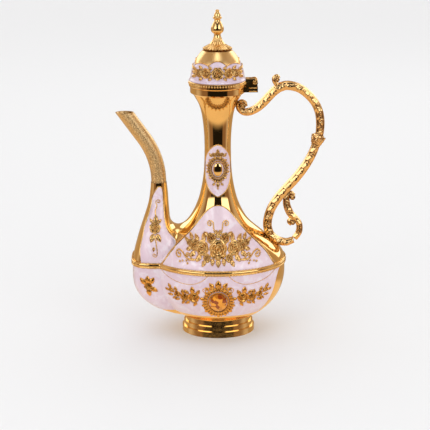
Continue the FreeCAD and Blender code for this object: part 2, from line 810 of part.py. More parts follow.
def hollow_against(body, radius, top, depth):
    """Takes away what lies inside a turned face about the neck's axis."""
    sketch = new_sketch(body, "XY_Plane", top)
    circle_at(sketch, "", "", radius)
    return extrude(body, "Pocket", sketch, depth)


bracket = new_body("hinge_bracket")
block(
    bracket,
    "collar_radius - wall",
    "pin_reach + knuckle_radius",
    SEAT + " - bracket_drop",
    SEAT,
    "hinge_half_width",
)
block(
    bracket,
    "pin_reach - knuckle_radius + knuckle_play",
    "pin_reach + knuckle_radius - knuckle_play",
    SEAT,
    PIN_HEIGHT,
    "middle_half_width",
)
barrel(bracket, "Pad", "knuckle_radius - knuckle_play", "middle_half_width")
barrel(bracket, "Pocket", "pin_radius", "hinge_half_width")
hollow_against(bracket, "collar_radius", SEAT, "bracket_drop")

barrel(new_body("hinge_pin"), "Pad", "pin_radius", "hinge_half_width")

leaf = new_body("lid_leaf")
block(
    leaf,
    "lid_rim_radius - wall",
    "pin_reach",
    SEAT + " + lid_gap",
    SEAT + " + leaf_rise",
    "hinge_half_width",
)
barrel(leaf, "Pad", "knuckle_radius", "hinge_half_width")
slot = new_sketch(leaf, "XZ_Plane")
slot_left = "pin_reach - knuckle_radius - knuckle_play"
slot_right = "pin_reach + knuckle_radius + knuckle_play"
draw(
    slot,
    (
        (slot_left, SEAT),
        (slot_right, SEAT),
        (slot_right, SEAT + " + leaf_rise + wall"),
        (slot_left, SEAT + " + leaf_rise + wall"),
    ),
)
slot_width = "middle_half_width + middle_half_width + knuckle_play"
extrude(leaf, "Pocket", slot, slot_width, both_ways=True)
barrel(leaf, "Pocket", "pin_radius + pin_play", "hinge_half_width")
hollow_against(leaf, "lid_rim_radius", SEAT + " + leaf_rise", "leaf_rise")

# ---- lid ---------------------------------------------------------------------------

RIM_LOW = SEAT + " + lid_gap"
RIM_TOP = SEAT + " + lid_rim_height"
DOME_SHOULDER = RIM_TOP + " + dome_side_rise"
DOME_TOP = DOME_SHOULDER + " + dome_crown_rise"

turn(
    new_body("lid_rim"),
    (
        ("collar_bore - plug_gap", RIM_LOW),
        ("lid_rim_radius - lid_rim_bevel", RIM_LOW),
        ("lid_rim_radius", RIM_LOW + " + lid_rim_bevel"),
        ("lid_rim_radius", RIM_TOP + " - lid_rim_bevel"),
        ("lid_rim_radius - lid_rim_bevel", RIM_TOP),
        ("collar_bore - plug_gap", RIM_TOP),
    ),
)
turn(
    new_body("lid_plug"),
    (
        ("collar_bore - plug_gap - plug_wall", SEAT + " - plug_depth"),
        ("collar_bore - plug_gap", SEAT + " - plug_depth"),
        ("collar_bore - plug_gap", RIM_TOP),
        ("collar_bore - plug_gap - plug_wall", RIM_TOP),
    ),
)
turn(
    new_body("lid_dome"),
    (
        ("dome_radius", RIM_TOP),
        ("dome_top_radius", DOME_SHOULDER, "dome_arc", 1),
        ("stud_radius", DOME_TOP),
        ("stud_radius", DOME_TOP + " - dome_wall"),
        ("nut_radius", DOME_TOP + " - dome_wall"),
        ("dome_top_radius - dome_wall", DOME_SHOULDER + " - dome_wall"),
        ("dome_radius - dome_wall", RIM_TOP, "dome_arc - dome_wall", -1),
    ),
)
turn(
    new_body("finial_rosette"),
    (
        ("stud_radius", DOME_TOP),
        ("dome_top_radius", DOME_SHOULDER),
        ("dome_top_radius", DOME_SHOULDER + " + rosette_edge"),
        ("finial_bulb", DOME_TOP + " + rosette_rise"),
        ("stud_radius", DOME_TOP + " + rosette_rise"),
    ),
)

# The finial, from its foot up: share of its height, share of its bulb.
FINIAL = (
    (0.0, 1.0),
    (0.066, 0.8),
    (0.123, 0.62),
    (0.222, 0.62),
    (0.293, 0.84),
    (0.356, 1.0),
    (0.4, 1.0),
    (0.46, 0.9),
    (0.58, 0.66),
    (0.64, 0.52),
    (0.686, 0.52),
    (0.737, 0.7),
    (0.784, 0.66),
    (0.856, 0.51),
    (0.97, 0.26),
)
finial_foot = reckon(DOME_TOP + " + rosette_rise")
stud_low = reckon(DOME_TOP + " - dome_wall - nut_height")
finial_corners = [FreeCAD.Vector(0, 0, stud_low), FreeCAD.Vector(size("stud_radius"), 0, stud_low)]
finial_corners.append(FreeCAD.Vector(size("stud_radius"), 0, finial_foot))
for rise_share, width_share in FINIAL:
    height = finial_foot + rise_share * size("finial_height")
    finial_corners.append(FreeCAD.Vector(width_share * size("finial_bulb"), 0, height))
finial_corners.append(FreeCAD.Vector(0, 0, finial_foot + size("finial_height")))
finial_corners.append(finial_corners[0])
finial_face = Part.Face(Part.makePolygon(finial_corners))
origin = FreeCAD.Vector(0, 0, 0)
upright = FreeCAD.Vector(0, 0, 1)
sculpted("finial", finial_face.revolve(origin, upright, 360))

nut_blank = doc.addObject("Part::Prism", "NutBlank")
nut_blank.Polygon = 6
nut_blank.setExpression("Circumradius", bound("nut_radius"))
nut_blank.setExpression("Height", bound("nut_height"))
nut_blank.setExpression("Placement.Base.z", bound(DOME_TOP + " - dome_wall - nut_height"))
nut_bore = doc.addObject("Part::Cylinder", "NutBore")
nut_bore.setExpression("Radius", bound("stud_radius"))
nut_bore.setExpression("Height", bound("nut_height"))
nut_bore.setExpression("Placement.Base.z", bound(DOME_TOP + " - dome_wall - nut_height"))
nut = doc.addObject("Part::Cut", "FinialNut")
nut.Base = nut_blank
nut.Tool = nut_bore
keep("finial_nut", nut)

# ---- enamel and cast ornament ---------------------------------------------------

rim_top = reckon(RIM_TOP)
dome_chord = math.hypot(size("dome_radius") - size("dome_top_radius"), size("dome_side_rise"))
dome_inset = math.sqrt(size("dome_arc") ** 2 - (dome_chord / 2) ** 2)
dome_centre_x = (size("dome_radius") + size("dome_top_radius")) / 2
dome_centre_x -= dome_inset * size("dome_side_rise") / dome_chord
dome_centre_z = rim_top + size("dome_side_rise") / 2
dome_centre_z -= dome_inset * (size("dome_radius") - size("dome_top_radius")) / dome_chord


def dome_at(height, grow):
    """Place on the dome's side at a height, grown outwards."""
    radius = size("dome_arc") + grow
    x = dome_centre_x + math.sqrt(radius**2 - (height - dome_centre_z) ** 2)
    return FreeCAD.Vector(x, 0, height)


def dome_layer(low, high, inner_grow, outer_grow):
    """A ring-shaped layer over the dome's side between two heights."""
    middle = (low + high) / 2
    inner = Part.Arc(dome_at(low, inner_grow), dome_at(middle, inner_grow), dome_at(high, inner_grow))
    outer = Part.Arc(dome_at(low, outer_grow), dome_at(middle, outer_grow), dome_at(high, outer_grow))
    foot_edge = Part.makeLine(dome_at(low, inner_grow), dome_at(low, outer_grow))
    top_edge = Part.makeLine(dome_at(high, inner_grow), dome_at(high, outer_grow))
    wire = Part.Wire(Part.__sortEdges__([inner.toShape(), outer.toShape(), foot_edge, top_edge]))
    return Part.Face(wire).revolve(origin, upright, 360)


skin = size("enamel_skin")
relief = skin + size("relief_rise")
enamel_low = rim_top + size("lid_enamel_foot")
enamel_high = enamel_low + size("lid_enamel_rise")
sculpted("lid_enamel", dome_layer(enamel_low, enamel_high, 0, skin))

lid_relief = dome_layer(enamel_low, enamel_high, skin, relief)
rose_line = enamel_low + size("lid_enamel_rise") / 2
lid_flowers = [oval(0, rose_line, 6.3, 6.3)]
for side in (-1, 1):
    lid_flowers.append(oval(side * 11.2, rose_line, 5.4, 4.8))
    lid_flowers.append(oval(side * 18.6, rose_line - 1.0, 2.9, 2.6))
both_sides("lid_garland", lid_relief, lid_flowers)

shoulder_skin = shoulder_solid(skin)
root_skin = root_solid(skin)
lower_skin = lower_solid(skin)
shoulder_layer = shoulder_skin.cut(upper_outside)
root_layer = root_skin.cut(upper_outside).cut(shoulder_skin)
bowl_layer = lower_skin.cut(lower_outside)
shoulder_relief = shoulder_solid(relief).cut(shoulder_skin).cut(root_skin)
root_relief = root_solid(relief).cut(root_skin).cut(shoulder_solid(relief))
bowl_relief = lower_solid(relief).cut(lower_skin)
bare_relief = shoulder_solid(size("relief_rise")).cut(upper_outside)
cabochon_relief = shoulder_solid(relief + skin).cut(shoulder_skin)
jewel_relief = lower_solid(relief + skin).cut(lower_skin)

# Heights of the ornament are drawn from the seam, the throat or the collar.
seam = size("waist_height")
throat = reckon(THROAT)
collar = reckon(COLLAR_BASE)
band_half = size("band_width") / 2

# Bell-shaped panel on the shoulder.
BELL = [(0, 58.2), (6, 55.8), (10.6, 50.6), (15.2, 46.0), (21.2, 41.6), (26.4, 35.6)]
BELL += [(33.2, 28.6), (40.0, 21.6), (47.2, 13.4), (54.6, band_half)]
BELL_FOOT = [(54.6, band_half), (-54.6, band_half)]
bell = raised(BELL, seam)
both_sides("shoulder_panel", shoulder_layer, [outline(mirrored(bell), bell, raised(BELL_FOOT, seam))])

# Long panel on the neck, drawn in at both ends.
LEAF = [(0, 12.4), (4.6, 10.2), (8.9, 5.2), (11.6, -2.0), (12.3, -13.0), (11.8, -22.4)]
LEAF += [(9.2, -30.4), (5.6, -35.2), (0, -38.4)]
long_leaf = raised(LEAF, throat)
both_sides("neck_panel", shoulder_layer, [outline(long_leaf, mirrored(long_leaf))])

# Sail-shaped panel on each cheek of the spout root.
SAIL_LEFT = [(-76.0, band_half), (-76.4, 15.0), (-73.6, 27.6), (-71.8, 36.4), (-68.8, 44.2)]
SAIL_LEFT += [(-65.6, 55.0), (-63.8, 64.6), (-60.6, 71.0), (-57.2, 74.8)]
SAIL_RIGHT = [(-57.2, 74.8), (-53.9, 71.0), (-53.0, 55.0), (-51.4, 40.4), (-48.4, 32.4)]
SAIL_RIGHT += [(-40.4, 22.0)]
SAIL_CREASE = [(-40.4, 22.0), (-55.4, band_half)]
SAIL_FOOT = [(-55.4, band_half), (-76.0, band_half)]
sail = [raised(stretch, seam) for stretch in (SAIL_LEFT, SAIL_RIGHT, SAIL_CREASE, SAIL_FOOT)]
both_sides("spout_panel", root_layer, [outline(*sail)])

# The bowl is enamelled all round but for a strip of bare metal at the handle.
bowl_low = -48.0
BOWL_EDGE = [(60.4, -band_half), (57.2, -10.4), (54.8, -19.8), (51.6, -29.4), (46.4, -39.0)]
BOWL_EDGE += [(39.0, bowl_low)]
BOWL_FOOT = [(39.0, bowl_low), (-FAR, bowl_low)]
BOWL_SPOUT = [(-FAR, bowl_low), (-FAR, -band_half)]
BOWL_TOP = [(-FAR, -band_half), (60.4, -band_half)]
cheek = [raised(stretch, seam) for stretch in (BOWL_EDGE, BOWL_FOOT, BOWL_SPOUT, BOWL_TOP)]
both_sides("bowl_enamel", bowl_layer, [outline(*cheek)])

# Rose spray on the shoulder: one large rose, four smaller, buds and leaves.
spray = [oval(0, seam + 20.6, 8.2, 8.6)]
for side in (-1, 1):
    spray.append(oval(side * 4.6, seam + 29.0, 5.0, 5.0))
    spray.append(oval(side * 12.4, seam + 20.0, 6.4, 6.4))
    spray.append(oval(side * 19.0, seam + 21.6, 7.4, 7.0))
    spray.append(oval(side * 27.2, seam + 23.6, 4.2, 3.0))
    spray.append(oval(side * 10.6, seam + 30.2, 3.2, 5.2))
    spray.append(oval(side * 10.6, seam + 11.0, 3.2, 5.4))
both_sides("rose_spray", shoulder_relief, spray)

# Oval frame on the neck, its crown and pendant, and the boss inside it.
boss = oval(0, throat - 11.8, 4.5, 6.8)
frame_oval = oval(0, throat - 11.8, 9.9, 13.2)
crown_oval = oval(0, throat + 3.4, 4.4, 4.2)
pendant_oval = oval(0, throat - 26.8, 2.6, 4.4)
frame_flowers = together([frame_oval, crown_oval, pendant_oval])
both_sides("neck_medallion", shoulder_relief, [frame_flowers.cut(boss)])
both_sides("neck_cabochon", cabochon_relief, [boss])

# Flower swag that hangs from the collar.
SWAG_LOW = [(13.0, -1.0), (11.0, -8.4), (6.4, -13.0), (0, -14.4), (-6.4, -13.0), (-11.0, -8.4)]
SWAG_LOW += [(-13.0, -1.0)]
SWAG_HIGH = [(-6.2, -1.0), (-4.0, -4.0), (0, -5.2), (4.0, -4.0), (6.2, -1.0)]
swag_low = raised(SWAG_LOW, collar)
swag_high = raised(SWAG_HIGH, collar)
left_end = [swag_low[-1], swag_high[0]]
right_end = [swag_high[-1], swag_low[0]]
both_sides("neck_swag", bare_relief, [outline(swag_low, left_end, swag_high, right_end)])

# Rose and leaves on the spout root.
sprig = [oval(-61.2, seam + 36.2, 6.0, 6.0), oval(-60.4, seam + 44.6, 3.2, 4.4)]
sprig.append(oval(-64.6, seam + 25.8, 3.4, 6.0))
sprig.append(oval(-56.6, seam + 27.2, 3.4, 5.6))
sprig.append(oval(-62.6, seam + 17.6, 2.4, 4.0))
both_sides("spout_spray", root_relief, [together(sprig)])

# Crowned frame on the bowl, the stone in it, and the rose garland each side.
stone = oval(0, seam - 30.4, 8.0, 11.6)
crowned = together([oval(0, seam - 30.2, 16.0, 16.6), oval(0, seam - 11.4, 7.6, 5.6)])
both_sides("bowl_medallion", bowl_relief, [crowned.cut(stone)])
both_sides("bowl_jewel", jewel_relief, [stone])
frame_clear = oval(0, seam - 30.2, 16.4, 17.0)
garland = []
for side in (-1, 1):
    garland.append(oval(side * 23.6, seam - 26.4, 7.6, 7.4))
    garland.append(oval(side * 27.0, seam - 18.6, 3.6, 4.6))
    garland.append(oval(side * 33.8, seam - 27.6, 4.6, 4.6))
    garland.append(oval(side * 41.2, seam - 25.6, 4.6, 4.0))
    garland.append(oval(side * 47.4, seam - 22.4, 3.4, 3.0))
lobe_leaf = oval(-70.0, seam - 22.0, 4.2, 9.0)
both_sides("bowl_garland", bowl_relief, [together(garland).cut(frame_clear), lobe_leaf])

# ---- checks, then one file for each sub-part --------------------------------------

doc.recompute()
for thing in doc.Objects:
    for state in thing.State:
        if "Invalid" in state or "Error" in state:
            raise RuntimeError(f"{thing.Name} failed: {thing.State}")
for name, thing in NODES.items():
    if thing.Shape.isNull() or not thing.Shape.isValid():
        raise RuntimeError(f"{name} has no valid shape")
    if thing.Shape.Volume <= 0:
        raise RuntimeError(f"{name} is inside out or empty")

os.makedirs("parts", exist_ok=True)
for name, thing in NODES.items():
    thing.Shape.exportStep(os.path.join("parts", name + ".step"))
print(len(NODES), "sub-parts written")
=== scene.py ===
import math
import random

import bmesh
import bpy
from mathutils import Matrix, Vector
from mathutils.bvhtree import BVHTree
import numpy as np


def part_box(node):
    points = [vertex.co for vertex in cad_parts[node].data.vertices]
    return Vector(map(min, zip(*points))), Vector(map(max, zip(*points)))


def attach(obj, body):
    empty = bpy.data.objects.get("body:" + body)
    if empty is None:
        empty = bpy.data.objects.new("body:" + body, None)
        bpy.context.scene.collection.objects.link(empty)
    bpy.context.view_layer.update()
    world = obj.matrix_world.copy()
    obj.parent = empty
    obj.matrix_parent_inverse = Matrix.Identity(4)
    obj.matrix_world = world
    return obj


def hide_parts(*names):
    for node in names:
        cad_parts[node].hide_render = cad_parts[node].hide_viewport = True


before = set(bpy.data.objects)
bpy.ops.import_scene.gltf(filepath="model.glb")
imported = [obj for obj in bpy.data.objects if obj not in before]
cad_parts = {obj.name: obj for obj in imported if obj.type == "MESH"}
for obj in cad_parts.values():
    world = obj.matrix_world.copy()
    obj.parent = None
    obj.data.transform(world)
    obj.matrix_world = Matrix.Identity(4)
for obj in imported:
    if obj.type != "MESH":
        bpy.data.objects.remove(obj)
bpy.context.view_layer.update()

MM = 0.001
scene = bpy.context.scene

# ---- studio -------------------------------------------------------------------
# A long lens a little above the pot, a pale floor that runs out of sight, and
# even white light. Polished metal sees two tall soft boxes, a dim room behind
# the camera and warm light from below.

camera = bpy.data.objects.new("camera", bpy.data.cameras.new("camera"))
scene.collection.objects.link(camera)
scene.camera = camera
camera.data.sensor_width = 36.0
camera.data.lens = 107.6
camera.data.clip_end = 100.0
CAMERA_PITCH = math.radians(90 - 16.3)
CAMERA_ROLL = math.radians(-0.23)
camera.location = Vector((-2.9, -1214.7, 473.7)) * MM
turned = Matrix.Rotation(CAMERA_PITCH, 3, "X") @ Matrix.Rotation(CAMERA_ROLL, 3, "Z")
camera.rotation_euler = turned.to_euler()

scene.view_settings.view_transform = "Standard"


class Nodes:
    """The node tree of one material or of the world, with short calls."""

    def __init__(self, owner):
        owner.use_nodes = True
        self.tree = owner.node_tree
        self.tree.nodes.clear()

    def add(self, kind, **settings):
        node = self.tree.nodes.new("ShaderNode" + kind)
        for key, value in settings.items():
            setattr(node, key, value)
        return node

    def link(self, source, target):
        self.tree.links.new(source, target)

    def feed(self, socket, value):
        """Sets an input from a number, a colour or another node's output."""
        if isinstance(value, bpy.types.NodeSocket):
            self.link(value, socket)
        elif isinstance(value, tuple) and len(value) == 3 and len(socket.default_value) == 4:
            socket.default_value = (*value, 1.0)
        else:
            socket.default_value = value

    def math(self, operation, first, second=0.0):
        node = self.add("Math", operation=operation)
        self.feed(node.inputs[0], first)
        self.feed(node.inputs[1], second)
        return node.outputs[0]

    def step(self, value, low, high, out_low=0.0, out_high=1.0):
        """A smooth step from out_low to out_high between two places."""
        node = self.add("MapRange", interpolation_type="SMOOTHSTEP")
        for place, given in enumerate((value, low, high, out_low, out_high)):
            self.feed(node.inputs[place], given)
        return node.outputs[0]

    def mix(self, share, first, second):
        node = self.add("Mix", data_type="RGBA")
        self.feed(node.inputs[0], share)
        self.feed(node.inputs[6], first)
        self.feed(node.inputs[7], second)
        return node.outputs[2]

    def noise(self, place, scale, detail=2.0, rough=0.5, distortion=0.0):
        node = self.add("TexNoise")
        self.feed(node.inputs["Vector"], place)
        self.feed(node.inputs["Scale"], scale)
        self.feed(node.inputs["Detail"], detail)
        self.feed(node.inputs["Roughness"], rough)
        self.feed(node.inputs["Distortion"], distortion)
        return node.outputs["Fac"]

    def emboss(self, shader, height, depth):
        """Fine relief, its depth in millimetres."""
        bump = self.add("Bump")
        bump.inputs["Distance"].default_value = depth * MM
        self.link(height, bump.inputs["Height"])
        self.link(bump.outputs[0], shader.inputs["Normal"])

    def close(self, shader, kind="OutputMaterial"):
        out = self.add(kind)
        self.link(shader.outputs[0], out.inputs[0])


room = bpy.data.worlds.new("studio")
scene.world = room
sky = Nodes(room)
way = sky.add("TexCoord").outputs["Generated"]
part = sky.add("SeparateXYZ")
sky.link(way, part.inputs[0])
over, across, up = part.outputs[0], part.outputs[1], part.outputs[2]
# Both sides of the room are alike. The wall behind the pot is warm and even.
bearing = sky.math("ARCTAN2", sky.math("ABSOLUTE", over), sky.math("ABSOLUTE", across))
DEGREE = math.pi / 180
DIM_ROOM = (0.014, 0.011, 0.008)
WARM_WALL = (0.26, 0.15, 0.09)
PALE_WALL = (0.62, 0.5, 0.42)
WARM_TABLE = (0.9, 0.66, 0.42)
BACKDROP = (0.5, 0.35, 0.2)
CEILING = (2.3, 2.25, 2.2)
CEILING_SIDE = (0.44, 0.31, 0.2)
half_way = sky.mix(sky.step(bearing, 38 * DEGREE, 46 * DEGREE), DIM_ROOM, WARM_WALL)
walls = sky.mix(sky.step(bearing, 64 * DEGREE, 88 * DEGREE), half_way, PALE_WALL)
around = sky.mix(sky.step(across, 0.1, 0.4), walls, BACKDROP)
below = sky.mix(sky.step(up, -0.38, -0.47), around, WARM_TABLE)
overhead = sky.mix(sky.step(bearing, 10 * DEGREE, 38 * DEGREE), CEILING, CEILING_SIDE)
lit = sky.mix(sky.step(up, 0.7, 0.86), below, overhead)
near_edge = sky.step(bearing, 18 * DEGREE, 21 * DEGREE)
far_edge = sky.step(bearing, 62 * DEGREE, 58 * DEGREE)
box_low = sky.step(up, 0.08, 0.13)
box_high = sky.step(up, 0.66, 0.54)
box_wide = sky.math("MULTIPLY", near_edge, far_edge)
box_tall = sky.math("MULTIPLY", box_low, box_high)
SOFT_BOX = (2.1, 2.06, 2.0)
EVEN_LIGHT = (1.0, 1.0, 1.01)
seen = sky.mix(sky.math("MULTIPLY", box_wide, box_tall), lit, SOFT_BOX)
rays = sky.add("LightPath")
even = sky.mix(rays.outputs["Is Glossy Ray"], EVEN_LIGHT, seen)
glow = sky.add("Background")
sky.link(even, glow.inputs["Color"])
sky.close(glow, "OutputWorld")


def soft_light(name, place, aim, wide, power):
    """A square area light at a place, turned to a target."""
    lamp = bpy.data.lights.new(name, "AREA")
    lamp.size = wide
    lamp.energy = power
    holder = bpy.data.objects.new(name, lamp)
    scene.collection.objects.link(holder)
    holder.location = place
    holder.rotation_euler = (Vector(aim) - Vector(place)).to_track_quat("-Z", "Y").to_euler()
    holder.visible_glossy = False
    return holder


KEY_POWER = 2.8
SIDE_POWER = 1.2
soft_light("key_light", (-0.9, -1.3, 1.3), (0, 0, 0.12), 0.7, KEY_POWER)
soft_light("fill_light", (1.1, -1.2, 0.9), (0, 0, 0.12), 0.8, SIDE_POWER)
soft_light("back_light", (0.2, 1.3, 1.2), (0, 0, 0.15), 0.8, SIDE_POWER)

floor_mesh = bpy.data.meshes.new("floor")
floor_build = bmesh.new()
bmesh.ops.create_grid(floor_build, x_segments=2, y_segments=2, size=8.0)
floor_build.to_mesh(floor_mesh)
floor_build.free()
floor = bpy.data.objects.new("floor", floor_mesh)
scene.collection.objects.link(floor)
floor_paint = bpy.data.materials.new("floor_paint")
paint = Nodes(floor_paint)
sheen = paint.add("BsdfPrincipled")
sheen.inputs["Base Color"].default_value = (0.86, 0.86, 0.86, 1.0)
sheen.inputs["Roughness"].default_value = 0.9
paint.close(sheen)
floor_mesh.materials.append(floor_paint)
floor.visible_glossy = False

# ---- foot and bottom plate ------------------------------------------------------
# A cast brass ring in three steps, turned, polished and gilded, is soldered
# under the bowl. A dull pressed plate closes it from below.


def gilded(name, colour, dark, roughness, spread=0.05, ripple=0.0, ripple_size=900.0, painted_shade_reach=0.0):
    """Gilded brass: tone and polish that drift, fine ripples, and painted shade darkening its recesses."""
    finish = bpy.data.materials.new(name)
    gold = Nodes(finish)
    place = gold.add("TexCoord").outputs["Object"]
    drift = gold.noise(place, 38.0, 3.0)
    tone = gold.mix(gold.step(drift, 0.3, 0.7), colour, tuple(0.9 * part for part in colour))
    # Painted shade: ambient occlusion within a few millimetres darkens the colour towards the shade colour in
    # recesses and between cast parts.
    if painted_shade_reach:
        painted_shade_ao = gold.add("AmbientOcclusion", samples=8)
        painted_shade_ao.inputs["Distance"].default_value = painted_shade_reach * MM
        tone = gold.mix(gold.step(painted_shade_ao.outputs["AO"], 0.85, 0.35), tone, dark)
    shader = gold.add("BsdfPrincipled")
    shader.inputs["Metallic"].default_value = 1.0
    gold.link(tone, shader.inputs["Base Color"])
    smear = gold.noise(place, 220.0, 4.0, 0.6)
    gold.link(gold.step(smear, 0.25, 0.75, roughness, roughness + spread), shader.inputs["Roughness"])
    if ripple:
        gold.emboss(shader, gold.noise(place, ripple_size, 2.0), ripple)
    gold.close(shader)
    return finish


BRIGHT_GOLD = (0.98, 0.67, 0.28)
SHADOW_GOLD = (0.34, 0.145, 0.035)
mirror_gold = gilded("mirror_gold", BRIGHT_GOLD, SHADOW_GOLD, 0.035, 0.035, 0.006, 200.0)
turned_gold = gilded("turned_gold", BRIGHT_GOLD, SHADOW_GOLD, 0.1, 0.08, 0.03, 500.0)
plain_brass = gilded("plain_brass", (0.74, 0.55, 0.3), SHADOW_GOLD, 0.32, 0.15, 0.08, 700.0)


def finish_nodes(finish, *names):
    """Gives carried-over nodes their real finish."""
    for name in names:
        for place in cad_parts[name].material_slots:
            place.material = finish


finish_nodes(turned_gold, "foot_ring")
finish_nodes(plain_brass, "bottom_plate")

# ---- bowl -------------------------------------------------------------------------
# The lower half is raised from sheet brass with a lobe under the spout, gilded
# and enamelled pink, all but a strip of bare gold at the handle.

finish_nodes(mirror_gold, "base_bowl")


def pearl_enamel(name, pale, mid, deep):
    """Pearly enamel: soft swirls of pigment under a clear, wet-looking glaze."""
    finish = bpy.data.materials.new(name)
    glaze = Nodes(finish)
    place = glaze.add("TexCoord").outputs["Object"]
    stirred = glaze.noise(place, 22.0, 2.0, 0.5, 1.6)
    veins = glaze.noise(place, 46.0, 2.0, 0.5, 3.6)
    streak = glaze.step(veins, 0.46, 0.74)
    base = glaze.mix(glaze.step(stirred, 0.35, 0.65), mid, deep)
    colour = glaze.mix(glaze.math("MULTIPLY", streak, 0.75), base, pale)
    shader = glaze.add("BsdfPrincipled")
    glaze.link(colour, shader.inputs["Base Color"])
    glaze.link(glaze.step(veins, 0.3, 0.7, 0.42, 0.26), shader.inputs["Roughness"])
    shader.inputs["Coat Weight"].default_value = 0.75
    shader.inputs["Coat Roughness"].default_value = 0.07
    shader.inputs["Sheen Weight"].default_value = 0.08
    glaze.emboss(shader, glaze.noise(place, 160.0, 2.0), 0.12)
    glaze.close(shader)
    return finish


pink_enamel = pearl_enamel("pink_pearl_enamel", (0.9, 0.81, 0.86), (0.8, 0.63, 0.69), (0.74, 0.56, 0.63))
finish_nodes(pink_enamel, "bowl_enamel_front", "bowl_enamel_back")

# Cast gold, with painted shade in its recesses out to 1.6 mm.
cast_gold = gilded("cast_gold", (1.0, 0.66, 0.27), SHADOW_GOLD, 0.2, 0.12, 0.08, 1500.0, 1.6)
FRONT = -1
BACK = 1
SIDES = (("front", FRONT), ("back", BACK))


def skin_of(*names):
    """The surface of carried-over nodes, for ornament to lie on."""
    corners = []
    faces = []
    for name in names:
        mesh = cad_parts[name].data
        first = len(corners)
        corners += [corner.co.copy() for corner in mesh.vertices]
        faces += [[first + number for number in face.vertices] for face in mesh.polygons]
    return BVHTree.FromPolygons(corners, faces)


bowl_skin = skin_of("base_bowl")
FAR_OUT = 0.3


def lay_on(build, skin, side, lift):
    """Carries flat work, drawn in X and Z with its height in Y, on to a skin."""
    for corner in build.verts:
        x, height, z = corner.co
        hit, square, _, _ = skin.ray_cast(Vector((x, side * FAR_OUT, z)), Vector((0, -side, 0)))
        if hit is None:
            hit, square, _, _ = skin.find_nearest(Vector((x, 0, z)))
        if square.y * side < 0:
            square = -square
        corner.co = hit + square * (height + lift * MM)


def make_piece(name, build, finish, body, stands_for=(), smooth=True):
    """Turns a finished build into a piece that rides on a body."""
    bmesh.ops.recalc_face_normals(build, faces=build.faces)
    mesh = bpy.data.meshes.new(name)
    build.to_mesh(mesh)
    build.free()
    for face in mesh.polygons:
        face.use_smooth = smooth
    piece = bpy.data.objects.new(name, mesh)
    scene.collection.objects.link(piece)
    mesh.materials.append(finish)
    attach(piece, body)
    if stands_for:
        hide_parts(*stands_for)
    return piece


def close_under(build, depth=0.6):
    """Gives an open raised sheet a rim and an underside."""
    rim = [edge for edge in build.edges if edge.is_boundary]
    grown = bmesh.ops.extrude_edge_only(build, edges=rim)["geom"]
    for part in grown:
        if isinstance(part, bmesh.types.BMVert):
            part.co.y = -depth * MM
    bmesh.ops.holes_fill(build, edges=[edge for edge in build.edges if edge.is_boundary])


def join_into(build, other):
    """Adds one build to another."""
    spare = bpy.data.meshes.new("spare")
    other.to_mesh(spare)
    other.free()
    build.from_mesh(spare)
    bpy.data.meshes.remove(spare)


def smooth_line(points, steps):
    """Evenly counted places on a smooth line through a few given ones."""
    padded = [points[0] * 2 - points[1], *points, points[-1] * 2 - points[-2]]
    places = []
    for number in range(len(points) - 1):
        before, start, finish, after = padded[number : number + 4]
        for step in range(steps):
            t = step / steps
            bend = start * 2 + (finish - before) * t
            bend += (before * 2 - start * 5 + finish * 4 - after) * t**2
            bend += (start * 3 - before - finish * 3 + after) * t**3
            places.append(bend * 0.5)
    places.append(points[-1].copy())
    return places


def grid_of(build, across, along, carry):
    """A sheet whose corners carry(u, v) puts in place; u and v run from 0 to 1."""
    for corner in bmesh.ops.create_grid(build, x_segments=across, y_segments=along, size=0.5)["verts"]:
        corner.co = carry(corner.co.x + 0.5, corner.co.y + 0.5)


SEAM = 1e-6


def merge(build):
    bmesh.ops.remove_doubles(build, verts=build.verts, dist=SEAM)


def move(build, way):
    bmesh.ops.translate(build, verts=build.verts, vec=way)


def rotate(build, matrix):
    bmesh.ops.rotate(build, verts=build.verts, cent=(0, 0, 0), matrix=matrix)


def thicken(build, thickness):
    """Gives an open sheet its thickness, in millimetres."""
    bmesh.ops.recalc_face_normals(build, faces=build.faces)
    bmesh.ops.solidify(build, geom=list(build.faces), thickness=thickness * MM)


def turn_on_lathe(outline, axis, steps):
    """The shape that an outline sweeps round an axis."""
    build = bmesh.new()
    corners = [build.verts.new(place) for place in outline]
    edges = [build.edges.new(pair) for pair in zip(corners, corners[1:])]
    bmesh.ops.spin(
        build, geom=corners + edges, cent=(0, 0, 0), axis=axis, angle=math.tau, steps=steps, use_merge=True
    )
    return build


def sew(build):
    """Merges a seam's two edges and closes what is still open."""
    merge(build)
    bmesh.ops.holes_fill(build, edges=[edge for edge in build.edges if edge.is_boundary])


def wire(places, radius, end_radius=None, sides=6, squash=1.0):
    """A wire along flat places, round or flattened, that may taper."""
    build = bmesh.new()
    last = len(places) - 1
    round_trip = (places[0] - places[-1]).length < SEAM
    thin = radius if end_radius is None else end_radius

    def carry(u, v):
        number = round(v * last)
        before = places[number - 1] if number or not round_trip else places[-2]
        after = places[number + 1] if number < last else (places[1] if round_trip else places[-1])
        ahead = after - (before if number or round_trip else places[0])
        beside = Vector((ahead.z, 0, -ahead.x)).normalized()
        spin = 2 * math.pi * u
        wide = (radius + (thin - radius) * v) * MM
        upright = Vector((0, wide * squash * math.sin(spin), 0))
        return places[number] + beside * (wide * math.cos(spin)) + upright

    grid_of(build, sides, last, carry)
    sew(build)
    return build


def flat(points, flank=1):
    """Points given in X and Z, as places; flank -1 turns them over."""
    return [Vector((flank * x, 0, z)) * MM for x, z in points]


